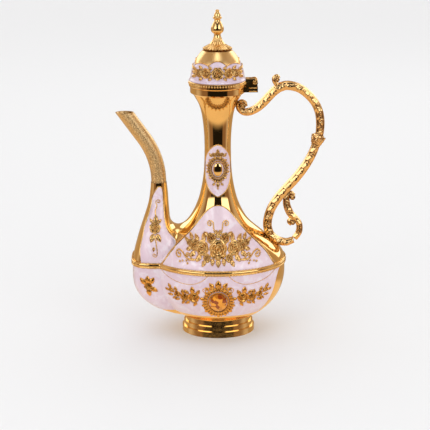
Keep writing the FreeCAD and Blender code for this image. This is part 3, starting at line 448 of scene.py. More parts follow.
# Hairline swags of gold are drawn on the enamel under the band.
HAIRLINE = 0.35
DROOP = [(55.6, 72.6), (49.0, 67.6), (40.0, 64.2), (31.0, 62.9), (23.0, 63.8), (15.6, 67.2), (9.7, 72.6)]
for ending, side in SIDES:
    threads = bmesh.new()
    for flank in (-1, 1):
        arc = smooth_line(flat(DROOP, flank), 8)
        join_into(threads, wire(arc, HAIRLINE, sides=5, squash=0.6))
    lay_on(threads, bowl_skin, side, 0.5)
    make_piece("bowl_hairline_" + ending, threads, cast_gold, "pot")

# ---- waist band ------------------------------------------------------------------
# A half-round brass band covers the seam between bowl and shoulder. A thin
# twisted cord of gilt wire is soldered along its upper and lower edge.

band_skin = skin_of("waist_band")
BAND_STATIONS = 480
CORD_TWISTS = 120
BAND_MIDDLE = Vector((-10, 0, 0)) * MM
band_low, band_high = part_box("waist_band")
band_level = (band_low.z + band_high.z) / 2


def round_the_waist(level, inset):
    """Places all round the seam at one height, and the way out at each."""
    places = []
    start = BAND_MIDDLE + Vector((0, 0, band_level))
    for number in range(BAND_STATIONS):
        spin = math.tau * number / BAND_STATIONS
        out = Vector((math.cos(spin), math.sin(spin), 0))
        hit = band_skin.ray_cast(start + out * FAR_OUT, -out)[0]
        places.append((Vector((hit.x, hit.y, level)) - out * inset * MM, out))
    return places


def hoop(level, inset, wide, tall, twists=0, lobes=0.0, sides=8):
    """A closed wire round the waist, plain or twisted."""
    stations = round_the_waist(level, inset)
    build = bmesh.new()

    def carry(u, v):
        middle, out = stations[round(v * BAND_STATIONS) % BAND_STATIONS]
        spin = math.tau * u
        swell = 1 + lobes * math.cos(2 * spin + math.tau * twists * v)
        upright = Vector((0, 0, tall * swell * MM * math.sin(spin)))
        return middle + out * (wide * swell * MM * math.cos(spin)) + upright

    grid_of(build, sides, BAND_STATIONS, carry)
    sew(build)
    return build


waist = hoop(band_level, 1.5, 1.5, 1.9, sides=24)
make_piece("waist_moulding", waist, turned_gold, "pot", ["waist_band"])
for level, ending in ((band_low.z, "lower"), (band_high.z, "upper")):
    cord_build = hoop(level, 1.0, 0.8, 0.8, CORD_TWISTS, 0.3)
    make_piece("waist_cord_" + ending, cord_build, turned_gold, "pot")

# ---- shoulder, neck and collar ------------------------------------------------------
# Shoulder, neck and the root of the spout are one raised and gilded shell. A
# turned collar ends the neck, and pink enamel panels are let in to its faces.

finish_nodes(mirror_gold, "neck_collar")
SEAM_HEIGHT, THROAT_HEIGHT, COLLAR_HEIGHT, SOCKET_HEIGHT = 75.0, 180.0, 240.0, 152.0
NECK_RADIUS = 12.9
# Share of the way up from seam to throat, and of the way out to the seam's size.
SHOULDER = [(0.0, 1.0), (0.048, 0.989), (0.086, 0.944), (0.124, 0.878), (0.162, 0.802), (0.219, 0.67)]
SHOULDER += [(0.282, 0.524), (0.36, 0.343), (0.438, 0.237), (0.552, 0.132), (0.71, 0.051), (0.86, 0.01)]
SHOULDER += [(1.0, 0.0)]
# The same from throat to collar, out to the mouth's radius.
NECK = [(0.25, 0.0), (0.49, 0.085), (0.68, 0.225), (0.82, 0.42), (0.93, 0.72), (1.0, 1.0)]
# Root of the spout: rise, spread along X and Y, bulge and squareness.
ROOT = [(0.0, 1.0, 1.0, 0.0, 3.4), (0.117, 0.886, 0.974, 0.13, 3.4), (0.22, 0.738, 0.912, 0.3, 3.2)]
ROOT += [(0.384, 0.458, 0.742, 0.77, 2.8), (0.49, 0.271, 0.55, 1.0, 2.6), (0.597, 0.192, 0.38, 0.72, 2.4)]
ROOT += [(0.753, 0.092, 0.186, 0.3, 2.2), (0.916, 0.035, 0.062, 0.04, 2.0), (1.0, 0.0, 0.0, 0.0, 2.0)]
PITCH = 3.0
LOWEST = 66.0
SHELL_TOP = 246.0
ROOT_TOP = 156.0
WAIST_LONG, WAIST_DEEP, MOUTH_FLARE = 53.1, 39.1, 11.3
TUBE_RADIUS, ROOT_LONG, ROOT_DEEP = 7.6, 22.9, 19.4
ROOT_PLACE, ROOT_LEAN, ROOT_BULGE = 54.0, 3.7, 4.7


def faired(heights, values, high):
    """Evenly spaced values on a line through rows, with its small kinks faired."""
    stations = np.arange(LOWEST, high + 3 * PITCH, PITCH)
    slopes = np.gradient(values, heights)
    place = np.clip(np.searchsorted(heights, stations) - 1, 0, len(heights) - 2)
    gap = heights[place + 1] - heights[place]
    t = np.clip((stations - heights[place]) / gap, 0, 1)
    line = values[place] * (2 * t**3 - 3 * t**2 + 1) + values[place + 1] * (3 * t**2 - 2 * t**3)
    line += gap * (slopes[place] * (t**3 - 2 * t**2 + t) + slopes[place + 1] * (t**3 - t**2))
    for _ in range(2):
        line[1:-1] = 0.25 * line[:-2] + 0.5 * line[1:-1] + 0.25 * line[2:]
    return line


def along(line, z):
    """Reads a faired line at any heights, smoothly."""
    at = np.clip((z - LOWEST) / PITCH, 1, len(line) - 2.001)
    low = at.astype(int)
    t = at - low
    a, b, c, d = line[low - 1], line[low], line[low + 1], line[np.minimum(low + 2, len(line) - 1)]
    curve = 2 * b + (c - a) * t + (2 * a - 5 * b + 4 * c - d) * t**2 + (3 * b - a - 3 * c + d) * t**3
    return 0.5 * curve


rows = []
for curve, low, high, long, deep in (
    (SHOULDER, SEAM_HEIGHT, THROAT_HEIGHT, WAIST_LONG, WAIST_DEEP),
    (NECK, THROAT_HEIGHT, COLLAR_HEIGHT, MOUTH_FLARE, MOUTH_FLARE),
):
    rows += [(low + (high - low) * rise, long * out, deep * out) for rise, out in curve]
shell = np.array(rows)
half_wide = faired(shell[:, 0], NECK_RADIUS + shell[:, 1], SHELL_TOP)
half_deep = faired(shell[:, 0], NECK_RADIUS + shell[:, 2], SHELL_TOP)
root = np.array(ROOT)
root_heights = SEAM_HEIGHT + (SOCKET_HEIGHT - SEAM_HEIGHT) * root[:, 0]
root_middle = faired(root_heights, -(ROOT_PLACE + ROOT_LEAN * root[:, 0] + ROOT_BULGE * root[:, 3]), ROOT_TOP)
root_long = faired(root_heights, TUBE_RADIUS + ROOT_LONG * root[:, 1], ROOT_TOP)
root_deep = faired(root_heights, TUBE_RADIUS + ROOT_DEEP * root[:, 2], ROOT_TOP)
root_square = faired(root_heights, root[:, 4], ROOT_TOP)
TINY = 1e-12
FILLET_LOW, FILLET_RISE = 95.0, 12.0
SEAM_FILLET, VALLEY_FILLET = 1.0, 16.0


def outside(points):
    """How far places lie outside the smooth body, in millimetres."""
    x, y, z = points.T
    wide, deep = along(half_wide, z), along(half_deep, z)
    share = np.sqrt((x / wide) ** 2 + (y / deep) ** 2) + 1e-9
    from_body = np.hypot(x, y) * (1 - 1 / share)
    over = np.abs(x - along(root_middle, z))
    square = along(root_square, z)
    share = (over / along(root_long, z)) ** square + (np.abs(y) / along(root_deep, z)) ** square
    share = (share + TINY) ** (1 / square)
    from_root = np.hypot(over, y) * (1 - 1 / share)
    # Past the socket the root falls away, so that it doesn't go on up the tube.
    from_root = from_root + 6 * np.clip((z - SOCKET_HEIGHT - 3) / 3, 0, None)
    rise = np.clip((z - FILLET_LOW) / FILLET_RISE, 0, 1)
    fillet = SEAM_FILLET + (VALLEY_FILLET - SEAM_FILLET) * rise**2 * (3 - 2 * rise)
    overlap = np.clip(fillet - np.abs(from_body - from_root), 0, None) / fillet
    return np.minimum(from_body, from_root) - overlap**2 * fillet / 4


def squarely_out(points):
    """Direction straight out of the smooth body at places."""
    step = 0.05
    ways = [outside(points + shift) - outside(points - shift) for shift in np.eye(3) * step]
    out = np.stack(ways, axis=1)
    length = np.linalg.norm(out, axis=1)
    return out / (length[:, None] + TINY), length / (2 * step)


def settle(points, lift=0.0):
    """Moves places on to the smooth body, or a lift above it."""
    for _ in range(4):
        way_out, rate = squarely_out(points)
        points = points - way_out * (outside(points) / np.maximum(rate, 0.3))[:, None]
    way_out, _ = squarely_out(points)
    return points + way_out * np.reshape(lift, (-1, 1)), way_out


BLANK_LOW, BODY_BLANK_TOP, ROOT_BLANK_TOP = 72.5, 243.0, 153.2
KNIT_SIZE = 1.25
blank = bmesh.new()


def body_blank(u, v):
    z = BLANK_LOW + (BODY_BLANK_TOP - BLANK_LOW) * v
    wide, deep = along(half_wide, np.array([z]))[0], along(half_deep, np.array([z]))[0]
    return Vector((wide * math.cos(math.tau * u), deep * math.sin(math.tau * u), z)) * MM


def root_blank(u, v):
    z = np.array([BLANK_LOW + (ROOT_BLANK_TOP - BLANK_LOW) * v])
    square = along(root_square, z)[0]
    over, side = math.cos(math.tau * u), math.sin(math.tau * u)
    reach = (abs(over) ** square + abs(side) ** square) ** (-1 / square)
    x = along(root_middle, z)[0] + along(root_long, z)[0] * reach * over
    return Vector((x, along(root_deep, z)[0] * reach * side, z[0])) * MM


for shape in (body_blank, root_blank):
    part = bmesh.new()
    grid_of(part, 96, 90, shape)
    sew(part)
    bmesh.ops.recalc_face_normals(part, faces=part.faces)
    join_into(blank, part)
# The two are knitted into one skin, which then settles on the smooth body.
blank_mesh = bpy.data.meshes.new("blank")
blank.to_mesh(blank_mesh)
blank.free()
blank_piece = bpy.data.objects.new("blank", blank_mesh)
scene.collection.objects.link(blank_piece)
knit = blank_piece.modifiers.new("knit", "REMESH")
knit.mode = "VOXEL"
knit.voxel_size = KNIT_SIZE * MM
bpy.context.view_layer.update()
modified = blank_piece.evaluated_get(bpy.context.evaluated_depsgraph_get())
knitted = bpy.data.meshes.new_from_object(modified)
bpy.data.objects.remove(blank_piece)
raised = bmesh.new()
raised.from_mesh(knitted)
bpy.data.meshes.remove(knitted)
# It is open at the seam, at the mouth and at the tube's socket.
SHELL_LOW, SHELL_HIGH = 73.8, 241.8
SOCKET_LOW, SOCKET_HIGH, SOCKET_SIDE = 152.4, 156.0, -40.0
open_faces = []
for face in raised.faces:
    middle = face.calc_center_median() / MM
    in_socket = SOCKET_LOW < middle.z < SOCKET_HIGH and middle.x < SOCKET_SIDE
    if middle.z < SHELL_LOW or middle.z > SHELL_HIGH or in_socket:
        open_faces.append(face)
bmesh.ops.delete(raised, geom=open_faces, context="FACES")
places, square_out = settle(np.array([corner.co for corner in raised.verts]) / MM)
for corner, place in zip(raised.verts, places):
    corner.co = Vector(place) * MM
shell_skin = BVHTree.FromBMesh(raised)
body_shell = make_piece("body_shell", raised, mirror_gold, "pot", ["upper_body"])
# An open shell is turned inside out when its faces are made to agree.
body_shell.data.flip_normals()
body_shell.data.normals_split_custom_set_from_vertices([tuple(way_out) for way_out in square_out])
# A plain sleeve lines the neck, so that it has an inside when the lid is open.
LINING_LOW, LINING_RISE, LINING_INSET = 150.0, 90.5, 1.5
lining = bmesh.new()


def neck_inside(u, v):
    z = LINING_LOW + LINING_RISE * v
    wide = along(half_wide, np.array([z]))[0] - LINING_INSET
    return Vector((wide * math.cos(-math.tau * u), wide * math.sin(-math.tau * u), z)) * MM


grid_of(lining, 64, 40, neck_inside)
merge(lining)
thicken(lining, 0.4)
make_piece("neck_lining", lining, plain_brass, "pot")


def lay_on_body(build, side, lift):
    """Carries flat work on to the smooth body, standing square on it."""
    starts = []
    heights = []
    for corner in build.verts:
        x, height, z = corner.co
        hit = shell_skin.ray_cast(Vector((x, side * FAR_OUT, z)), Vector((0, -side, 0)))[0]
        if hit is None:
            hit = shell_skin.find_nearest(Vector((x, 0, z)))[0]
        starts.append(hit / MM)
        heights.append(height / MM + lift)
    finished, _ = settle(np.array(starts), np.array(heights))
    for corner, place in zip(build.verts, finished):
        corner.co = Vector(place) * MM


BELL_RIM = [(54.6, 77.4), (47.2, 88.8), (40.0, 96.4), (33.2, 102.6), (26.4, 109.0), (20.8, 115.2)]
BELL_RIM += [(16.2, 121.2), (12.4, 126.0), (8.0, 130.2), (3.8, 132.6), (0, 133.2)]
NECK_RIM = [(0, 192.4), (4.6, 190.2), (8.9, 185.2), (11.6, 178.0), (12.2, 167.0), (11.7, 157.6)]
NECK_RIM += [(9.2, 149.6), (5.6, 144.8), (0, 141.6)]
SAIL_LEFT = [(-75.6, 77.6), (-76.2, 90.0), (-73.5, 102.6), (-71.7, 111.4), (-68.7, 119.2), (-65.5, 130.0)]
SAIL_LEFT += [(-63.7, 139.6), (-60.5, 146.0), (-57.2, 149.8)]
SAIL_RIGHT = [(-55.2, 77.6), (-47.6, 87.6), (-40.6, 97.4), (-48.4, 107.4), (-51.4, 115.4), (-53.0, 130.0)]
SAIL_RIGHT += [(-53.9, 146.0), (-57.2, 149.8)]
CROWN = 0.35


def panel(left, right, side, across, up):
    """Enamel let in between two edges, a little fuller in its middle."""
    edges = []
    for edge in (left, right):
        line = smooth_line(flat(edge), 12)
        edges.append(np.array([(place.z, place.x) for place in line]))
    low, high = edges[0][0, 0], edges[0][-1, 0]
    build = bmesh.new()

    def carry(u, v):
        z = low + (high - low) * (0.5 - 0.5 * math.cos(math.pi * v))
        start, stop = (np.interp(z, edge[:, 0], edge[:, 1]) for edge in edges)
        crown = min(1.0, 5 * min(u, 1 - u), 8 * v + 0.4, 8 * (1 - v)) * CROWN * MM
        return Vector((start + (stop - start) * u, crown, z))

    grid_of(build, across, up, carry)
    merge(build)
    close_under(build, 0.4)
    lay_on_body(build, side, 0.25)
    return build


LONG_EDGE = NECK_RIM[::-1]
for ending, side in SIDES:
    for shape, left, right, across, up, node in (
        ("bell_panel_", [(-x, z) for x, z in BELL_RIM], BELL_RIM, 90, 56, "shoulder_panel_"),
        ("long_panel_", [(-x, z) for x, z in LONG_EDGE], LONG_EDGE, 40, 60, "neck_panel_"),
        ("sail_panel_", SAIL_LEFT, SAIL_RIGHT, 44, 70, "spout_panel_"),
    ):
        sheet = panel(left, right, side, across, up)
        make_piece(shape + ending, sheet, pink_enamel, "pot", [node + ending])

# A flattened gilt wire frames each panel.
RIM_WIRE = 0.55
for ending, side in SIDES:
    rims = bmesh.new()
    for loop, steps in (
        (flat(BELL_RIM) + flat(BELL_RIM[-2::-1], -1), 8),
        (flat(NECK_RIM) + flat(NECK_RIM[-2::-1], -1), 6),
        (flat(SAIL_LEFT) + flat(SAIL_RIGHT[-2::-1]), 7),
    ):
        join_into(rims, wire(smooth_line(loop, steps), RIM_WIRE, squash=0.8))
    lay_on_body(rims, side, 0.3)
    make_piece("panel_rims_" + ending, rims, turned_gold, "pot")

# ---- spout -----------------------------------------------------------------------
# A bent brass tube, finely hatched all over with a graver, is soldered on its
# root. A pierced plate inside it keeps the grounds back.


def hatched(name, colour, pitch, depth):
    """Gold with fine crossed graver lines."""
    finish = bpy.data.materials.new(name)
    gold = Nodes(finish)
    place = gold.add("TexCoord").outputs["Object"]
    lines = []
    for lean in (0.7, -0.7):
        turn = gold.add("Mapping")
        gold.link(place, turn.inputs["Vector"])
        turn.inputs["Rotation"].default_value = (0.0, lean, 0.0)
        wave = gold.add("TexWave", wave_type="BANDS", bands_direction="Z")
        gold.link(turn.outputs[0], wave.inputs["Vector"])
        wave.inputs["Scale"].default_value = pitch
        wave.inputs["Distortion"].default_value = 0.5
        wave.inputs["Detail"].default_value = 2.0
        lines.append(wave.outputs["Fac"])
    crossed = gold.math("MULTIPLY", lines[0], lines[1])
    worn = gold.noise(place, 300.0, 3.0)
    relief = gold.math("ADD", crossed, gold.math("MULTIPLY", worn, 0.8))
    shader = gold.add("BsdfPrincipled")
    shader.inputs["Metallic"].default_value = 1.0
    tone = gold.mix(gold.step(relief, 0.2, 0.8), tuple(0.62 * part for part in colour), colour)
    gold.link(tone, shader.inputs["Base Color"])
    gold.link(gold.step(relief, 0.2, 0.9, 0.3, 0.16), shader.inputs["Roughness"])
    gold.emboss(shader, relief, depth)
    gold.close(shader)
    return finish


hatched_gold = hatched("hatched_gold", (0.95, 0.69, 0.36), 460.0, 0.12)
finish_nodes(hatched_gold, "spout_tube")
finish_nodes(plain_brass, "spout_strainer", "handle_screws", "finial_nut", "lid_plug")

# ---- handle ------------------------------------------------------------------------
# The handle is cast in brass in one S with scrolled ends, chased all over with
# a running vine between raised rims, and held to neck and shoulder by screws.

# Chased gold, with painted shade in its recesses out to 2.4 mm.
chased_gold = gilded("chased_gold", (0.94, 0.61, 0.27), SHADOW_GOLD, 0.12, 0.08, 0.06, 1100.0, 2.4)
ARCH = [(27.4, 227.4, 2.0), (26.2, 231.0, 2.3), (22.6, 231.9, 2.6), (20.0, 228.9, 2.9), (20.9, 224.8, 3.4)]
ARCH += [(25.0, 222.0, 4.0), (30.4, 222.0, 4.4), (37.0, 225.0, 4.6), (43.2, 230.2, 4.9), (48.8, 236.2, 4.9)]
ARCH += [(54.2, 241.8, 5.0), (60.2, 245.8, 5.1), (67.6, 247.4, 5.1), (78.1, 244.7, 4.9), (86.9, 238.3, 4.8)]
ARCH += [(93.6, 230.2, 4.7), (97.6, 221.2, 4.7), (99.0, 211.8, 4.7), (98.8, 203.0, 4.6), (97.9, 197.2, 4.5)]
STEM = [(96.6, 193.0, 4.6), (95.6, 190.6, 4.6), (92.6, 182.4, 4.8), (88.6, 174.0, 4.9), (83.2, 165.2, 5.0)]
STEM += [(75.6, 155.2, 5.1), (67.1, 145.7, 5.1), (59.4, 136.5, 5.1), (53.0, 126.3, 5.0), (49.4, 115.6, 5.0)]
STEM += [(49.0, 106.0, 4.9), (52.4, 97.6, 4.8), (59.0, 92.4, 4.7), (67.2, 90.6, 4.2), (74.6, 92.8, 3.5)]
BRANCH = [(75.0, 138.6, 1.9), (71.6, 141.0, 2.4), (68.2, 138.4, 3.0), (67.2, 132.6, 3.8), (68.4, 126.0, 4.1)]
BRANCH += [(71.6, 119.4, 4.1), (76.6, 114.6, 3.5), (80.2, 108.4, 3.5), (79.8, 100.8, 3.6), (75.8, 94.6, 3.4)]
INNER = [(76.0, 113.8, 2.9), (72.6, 114.8, 2.7), (70.2, 111.6, 2.5), (72.4, 108.6, 2.0)]
CURL = [(58.9, 254.6, 1.8), (57.0, 256.6, 2.0), (54.3, 255.2, 2.2), (54.4, 251.8, 2.5), (57.2, 248.0, 2.9)]
CURL += [(61.0, 245.8, 3.4)]


def chased_bar(rows, steps, leaf_pitch=9.0, depth=0.6):
    """A round bar with raised rims down both cheeks and a vine between them."""
    places = smooth_line([Vector((x, 0, z)) * MM for x, z, _ in rows], steps)
    widths = smooth_line([Vector((radius, 0, 0)) for _, _, radius in rows], steps)
    travelled = [0.0]
    for start, finish in zip(places, places[1:]):
        travelled.append(travelled[-1] + (finish - start).length / MM)
    last = len(places) - 1
    build = bmesh.new()

    def carry(u, v):
        number = round(v * last)
        ahead = places[min(number + 1, last)] - places[max(number - 1, 0)]
        out = Vector((ahead.z, 0, -ahead.x)).normalized()
        spin = 2 * math.pi * u
        cheek = math.sin(spin)
        away = math.cos(spin)
        along = travelled[number]
        rim = math.exp(-(((abs(away) - 0.72) / 0.1) ** 2))
        run = 2 * math.pi * along / leaf_pitch
        vine = away - 0.2 * math.sin(run)
        stalk = math.exp(-((vine / 0.09) ** 2))
        frond = abs(math.sin(1.5 * run - 3.4 * abs(vine))) ** 0.7 * math.exp(-((vine / 0.5) ** 4))
        ticks = 0.3 * math.sin(5 * run) * math.exp(-(((abs(away) - 0.9) / 0.08) ** 2))
        relief = depth * (1.1 * rim + 0.8 * stalk + 0.95 * frond + ticks - 0.95)
        wide = (widths[number].x + relief) * MM
        return places[number] + out * (wide * away) + Vector((0, wide * cheek, 0))

    grid_of(build, 56, last, carry)
    sew(build)
    return build


def button(x, z, radius, half_thickness):
    """The round eye of a scroll: a turned disc with a raised boss each side."""
    upper = [(0, 1.25), (0.3, 1.2), (0.45, 0.95), (0.62, 0.92), (0.8, 1.1), (0.95, 1.0), (1, 0.75)]
    lower = [(share, -thick) for share, thick in reversed(upper)]
    places = [(share * radius * MM, thick * half_thickness * MM, 0) for share, thick in upper + lower]
    build = turn_on_lathe(places, (0, 1, 0), 20)
    merge(build)
    move(build, Vector((x, 0, z)) * MM)
    return build


arch = chased_bar(ARCH, 12)
join_into(arch, button(23.9, 228.0, 3.0, 4.2))
make_piece("chased_arch", arch, chased_gold, "pot", ["handle_arch"])
stem = chased_bar(STEM, 12)
make_piece("chased_stem", stem, chased_gold, "pot", ["handle_stem"])
branch = chased_bar(BRANCH, 10, 9.0, 0.4)
join_into(branch, chased_bar(INNER, 8, 7.0, 0.25))
join_into(branch, button(72.9, 137.2, 2.9, 3.6))
join_into(branch, button(73.6, 111.0, 2.4, 3.2))
make_piece("chased_branch", branch, chased_gold, "pot", ["handle_scroll"])
curl = chased_bar(CURL, 8, 7.0, 0.3)
join_into(curl, button(56.9, 253.6, 2.5, 3.8))
make_piece("thumb_curl", curl, chased_gold, "pot", ["thumb_scroll"])


def leaf(length, width, height, lobes=4, cup=0.0, along=10, across=8):
    """A ribbed leaf along Z from the origin, its height in Y."""
    build = bmesh.new()

    def carry(u, v):
        side = 2 * u - 1
        edge = math.sin(math.pi * min(1.0, 0.06 + 0.94 * v) ** 0.8) ** 0.8
        edge *= 1 + 0.16 * math.sin(2 * math.pi * lobes * v) * abs(side)
        x = side * width / 2 * edge
        rise = (1 - side**2) * 0.7 + 0.3
        rise += 0.22 * math.cos(2 * math.pi * (lobes * v - 0.9 * abs(side)))
        rise -= 0.35 * math.exp(-((side / 0.12) ** 2))
        rise *= (0.45 + 0.55 * math.sin(math.pi * v)) * height
        return Vector((x, rise + cup * v**2, length * v)) * MM

    grid_of(build, across, along, carry)
    close_under(build)
    return build


def put(build, x, z, turn=0.0, lift=0.0):
    """Turns flat work in its plane and moves it to its place."""
    if turn:
        rotate(build, Matrix.Rotation(turn, 3, "Y"))
    move(build, Vector((x, lift, z)) * MM)
    return build


# The knuckle half way down is a cluster of acanthus leaves round the bar.
knuckle = bmesh.new()
knuckle_axis = (Vector((98.2, 0, 198.6)) - Vector((94.9, 0, 189.0))).normalized()
lean = knuckle_axis.to_track_quat("Z", "Y").to_matrix()
sleeve_rows = [(94.7, 188.4, 4.9), (95.5, 190.6, 5.3), (96.4, 193.4, 5.9), (97.3, 196.2, 6.0)]
sleeve_rows += [(98.2, 198.8, 5.4)]
join_into(knuckle, chased_bar(sleeve_rows, 6, 6.0, 0.5))
KNUCKLE_LEAVES = 8
for number in range(KNUCKLE_LEAVES):
    frond = leaf(8.2, 4.4, 1.2, 3, cup=2.2)
    move(frond, Vector((0, 4.6, -3.6)) * MM)
    rotate(frond, Matrix.Rotation(2 * math.pi * number / KNUCKLE_LEAVES, 3, "Z"))
    rotate(frond, lean)
    move(frond, Vector((96.4, 0, 193.6)) * MM)
    join_into(knuckle, frond)
make_piece("leafy_knuckle", knuckle, chased_gold, "pot", ["handle_knuckle"])

# ---- roses and leaves on the shoulder ---------------------------------------------------
# The sprays are cast brass, gilded and pinned to the enamel: a large rose,
# smaller ones either side, leaves, buds, and thin tendrils that end in curls.

PETAL_RINGS = ((0.0, 0.26, 2, 1.15), (0.26, 0.5, 3, 1.0), (0.5, 0.76, 5, 0.8), (0.76, 1.0, 7, 0.55))


def rose(radius, height, seed=0, around=48, rings=20):
    """An open rose seen from above: rings of cupped petals with deep cuts between."""
    build = bmesh.new()
    chance = random.Random(seed)
    starts = [chance.uniform(0, math.tau) for _ in PETAL_RINGS]

    def carry(u, v):
        spin = math.tau * u
        for number, (inner, outer, petals, lip) in enumerate(PETAL_RINGS):
            if v <= outer or number == len(PETAL_RINGS) - 1:
                break
        petal = abs(math.cos(petals * (spin + starts[number]) / 2)) ** 0.5
        share = (v - inner) / (outer - inner)
        cup = 0.12 + 0.88 * share**0.8 if share < 0.85 else 0.9 * (1 - share) / 0.15 + 0.1
        rise = lip * cup * (0.3 + 0.7 * petal)
        reach = radius * v * (1 - 0.16 * (1 - petal) * v)
        return Vector((reach * math.cos(spin), rise * height, reach * math.sin(spin))) * MM

    grid_of(build, around, rings, carry)
    merge(build)
    close_under(build)
    return build


def berry(radius, lift=0.3):
    build = bmesh.new()
    bmesh.ops.create_icosphere(build, subdivisions=2, radius=radius * MM)
    move(build, (0, lift * MM, 0))
    return build


def coil(x, z, radius, start, turns, count=16):
    """Places on a spiral that winds clockwise in to its middle."""
    places = []
    for number in range(count + 1):
        share = number / count
        spin = start - math.tau * turns * share
        reach = radius * (1 - 0.78 * share)
        places.append(Vector((x + reach * math.cos(spin), 0, z + reach * math.sin(spin))) * MM)
    return places


def tendril(points, winding, thick=0.75, thin=0.4):
    """A stalk through points that winds up in a coil, with a berry in its eye."""
    curl = coil(*winding)
    places = smooth_line(flat(points) + curl[:1], 6)[:-1] + curl
    build = wire(places, thick, thin, sides=6)
    centre = curl[-1] / MM
    join_into(build, put(berry(thin * 1.9), centre.x, centre.z))
    return build


def mirror_over(build):
    """The same work on the other side of the pot's middle."""
    twin = build.copy()
    bmesh.ops.scale(twin, verts=twin.verts, vec=(-1, 1, 1))
    bmesh.ops.reverse_faces(twin, faces=twin.faces)
    join_into(build, twin)


def add_roses(build, *rows):
    """Roses at their places, each with its own size, height and seed."""
    for x, z, *shape in rows:
        join_into(build, put(rose(*shape), x, z))


def add_leaves(build, height, *rows):
    """Leaves of one height at their places, each with its turn, length and width."""
    for x, z, turn, length, width in rows:
        join_into(build, put(leaf(length, width, height), x, z, turn))


def add_berries(build, *rows):
    for x, z, size in rows:
        join_into(build, put(berry(size), x, z))


for ending, side in SIDES:
    half = bmesh.new()
    add_roses(half, (15.4, 96.4, 6.6, 2.6, 3), (22.2, 98.2, 4.9, 2.4, 4), (6.4, 104.4, 4.8, 2.6, 5))
    add_roses(half, (10.6, 88.6, 4.0, 2.2, 9, 32, 14), (27.4, 99.6, 2.9, 2.0, 6, 32, 14))
    add_leaves(
        half,
        1.8,
        (9.4, 106.0, 0.9, 5.4, 3.8),
        (3.0, 107.6, -0.5, 4.4, 3.2),
        (13.4, 101.6, 0.1, 7.0, 4.2),
        (19.0, 101.6, 0.5, 6.4, 4.2),
        (24.6, 102.4, 0.4, 5.6, 3.6),
        (28.4, 100.6, 1.0, 4.6, 3.0),
        (25.6, 95.6, 1.9, 5.4, 3.4),
        (22.0, 93.0, 2.2, 6.6, 4.2),
        (16.6, 91.0, 2.5, 7.4, 4.6),
        (12.2, 86.6, 2.6, 6.4, 4.0),
        (5.0, 88.4, 3.0, 6.6, 4.0),
    )
    join_into(half, tendril([(3.6, 110.0), (4.2, 113.0)], (7.6, 116.4, 3.2, 2.8, 1.1), 0.85, 0.6))
    long_stalk = [(18.0, 88.4), (24.0, 86.4), (30.0, 87.6), (33.8, 91.4)]
    join_into(half, tendril(long_stalk, (37.4, 89.6, 3.6, 1.9, 1.05), 0.95, 0.6))
    join_into(half, tendril([(23.0, 86.6), (26.2, 88.4)], (29.4, 89.8, 2.0, 2.6, 0.8), 0.8, 0.55))
    add_berries(half, (27.6, 86.4, 1.1), (30.2, 85.4, 1.0), (29.2, 83.2, 1.0), (36.6, 84.0, 1.0))
    add_berries(half, (34.0, 84.8, 0.9))
    mirror_over(half)
    add_roses(half, (0, 95.4, 8.8, 3.2, 1, 72, 26))
    add_leaves(half, 1.8, (0, 88.0, math.pi, 7.4, 5.0), (0, 104.4, 0, 6.0, 4.4))
    lay_on_body(half, side, 0.5)
    make_piece("shoulder_spray_" + ending, half, cast_gold, "pot", ["rose_spray_" + ending])

# ---- neck medallion and swag ---------------------------------------------------------
# A polished oval boss sits in a cast frame of beads and small petals, with a
# flower crown above it and a drop below. A swag of flowers hangs from the collar.

RING_STEPS = 48


def oval_frame(x, z, half_width, half_height, beads, petals, petal_size, bead_size):
    """Two flattened rings, small roses between them, beads on top and petals outside."""
    build = bmesh.new()

    def ringed(number, share, count):
        spin = math.tau * (number % count) / count
        place = (x + half_width * share * math.cos(spin), z + half_height * share * math.sin(spin))
        return place, math.atan2(half_height * math.cos(spin), half_width * math.sin(spin))

    for share, thick in ((0.86, 1.9), (0.64, 1.0)):
        band = flat([ringed(number, share, RING_STEPS)[0] for number in range(RING_STEPS + 1)])
        join_into(build, wire(band, bead_size * thick, sides=8, squash=0.55))
    for number in range(petals):
        place, outward = ringed(number, 0.9, petals)
        size = petal_size * (1.15 if number % 2 else 0.85)
        join_into(build, put(leaf(size, size * 1.05, 1.3, 2, along=6, across=8), *place, outward))
        (across, tall), _ = ringed(number + 0.5, 0.86, petals)
        join_into(build, put(rose(petal_size * 0.34, 1.7, number, 12, 8), across, tall, 0, 0.4))
    for number in range(beads):
        place, _ = ringed(number, 0.7, beads)
        join_into(build, put(berry(bead_size, 0.9), *place))
    return build


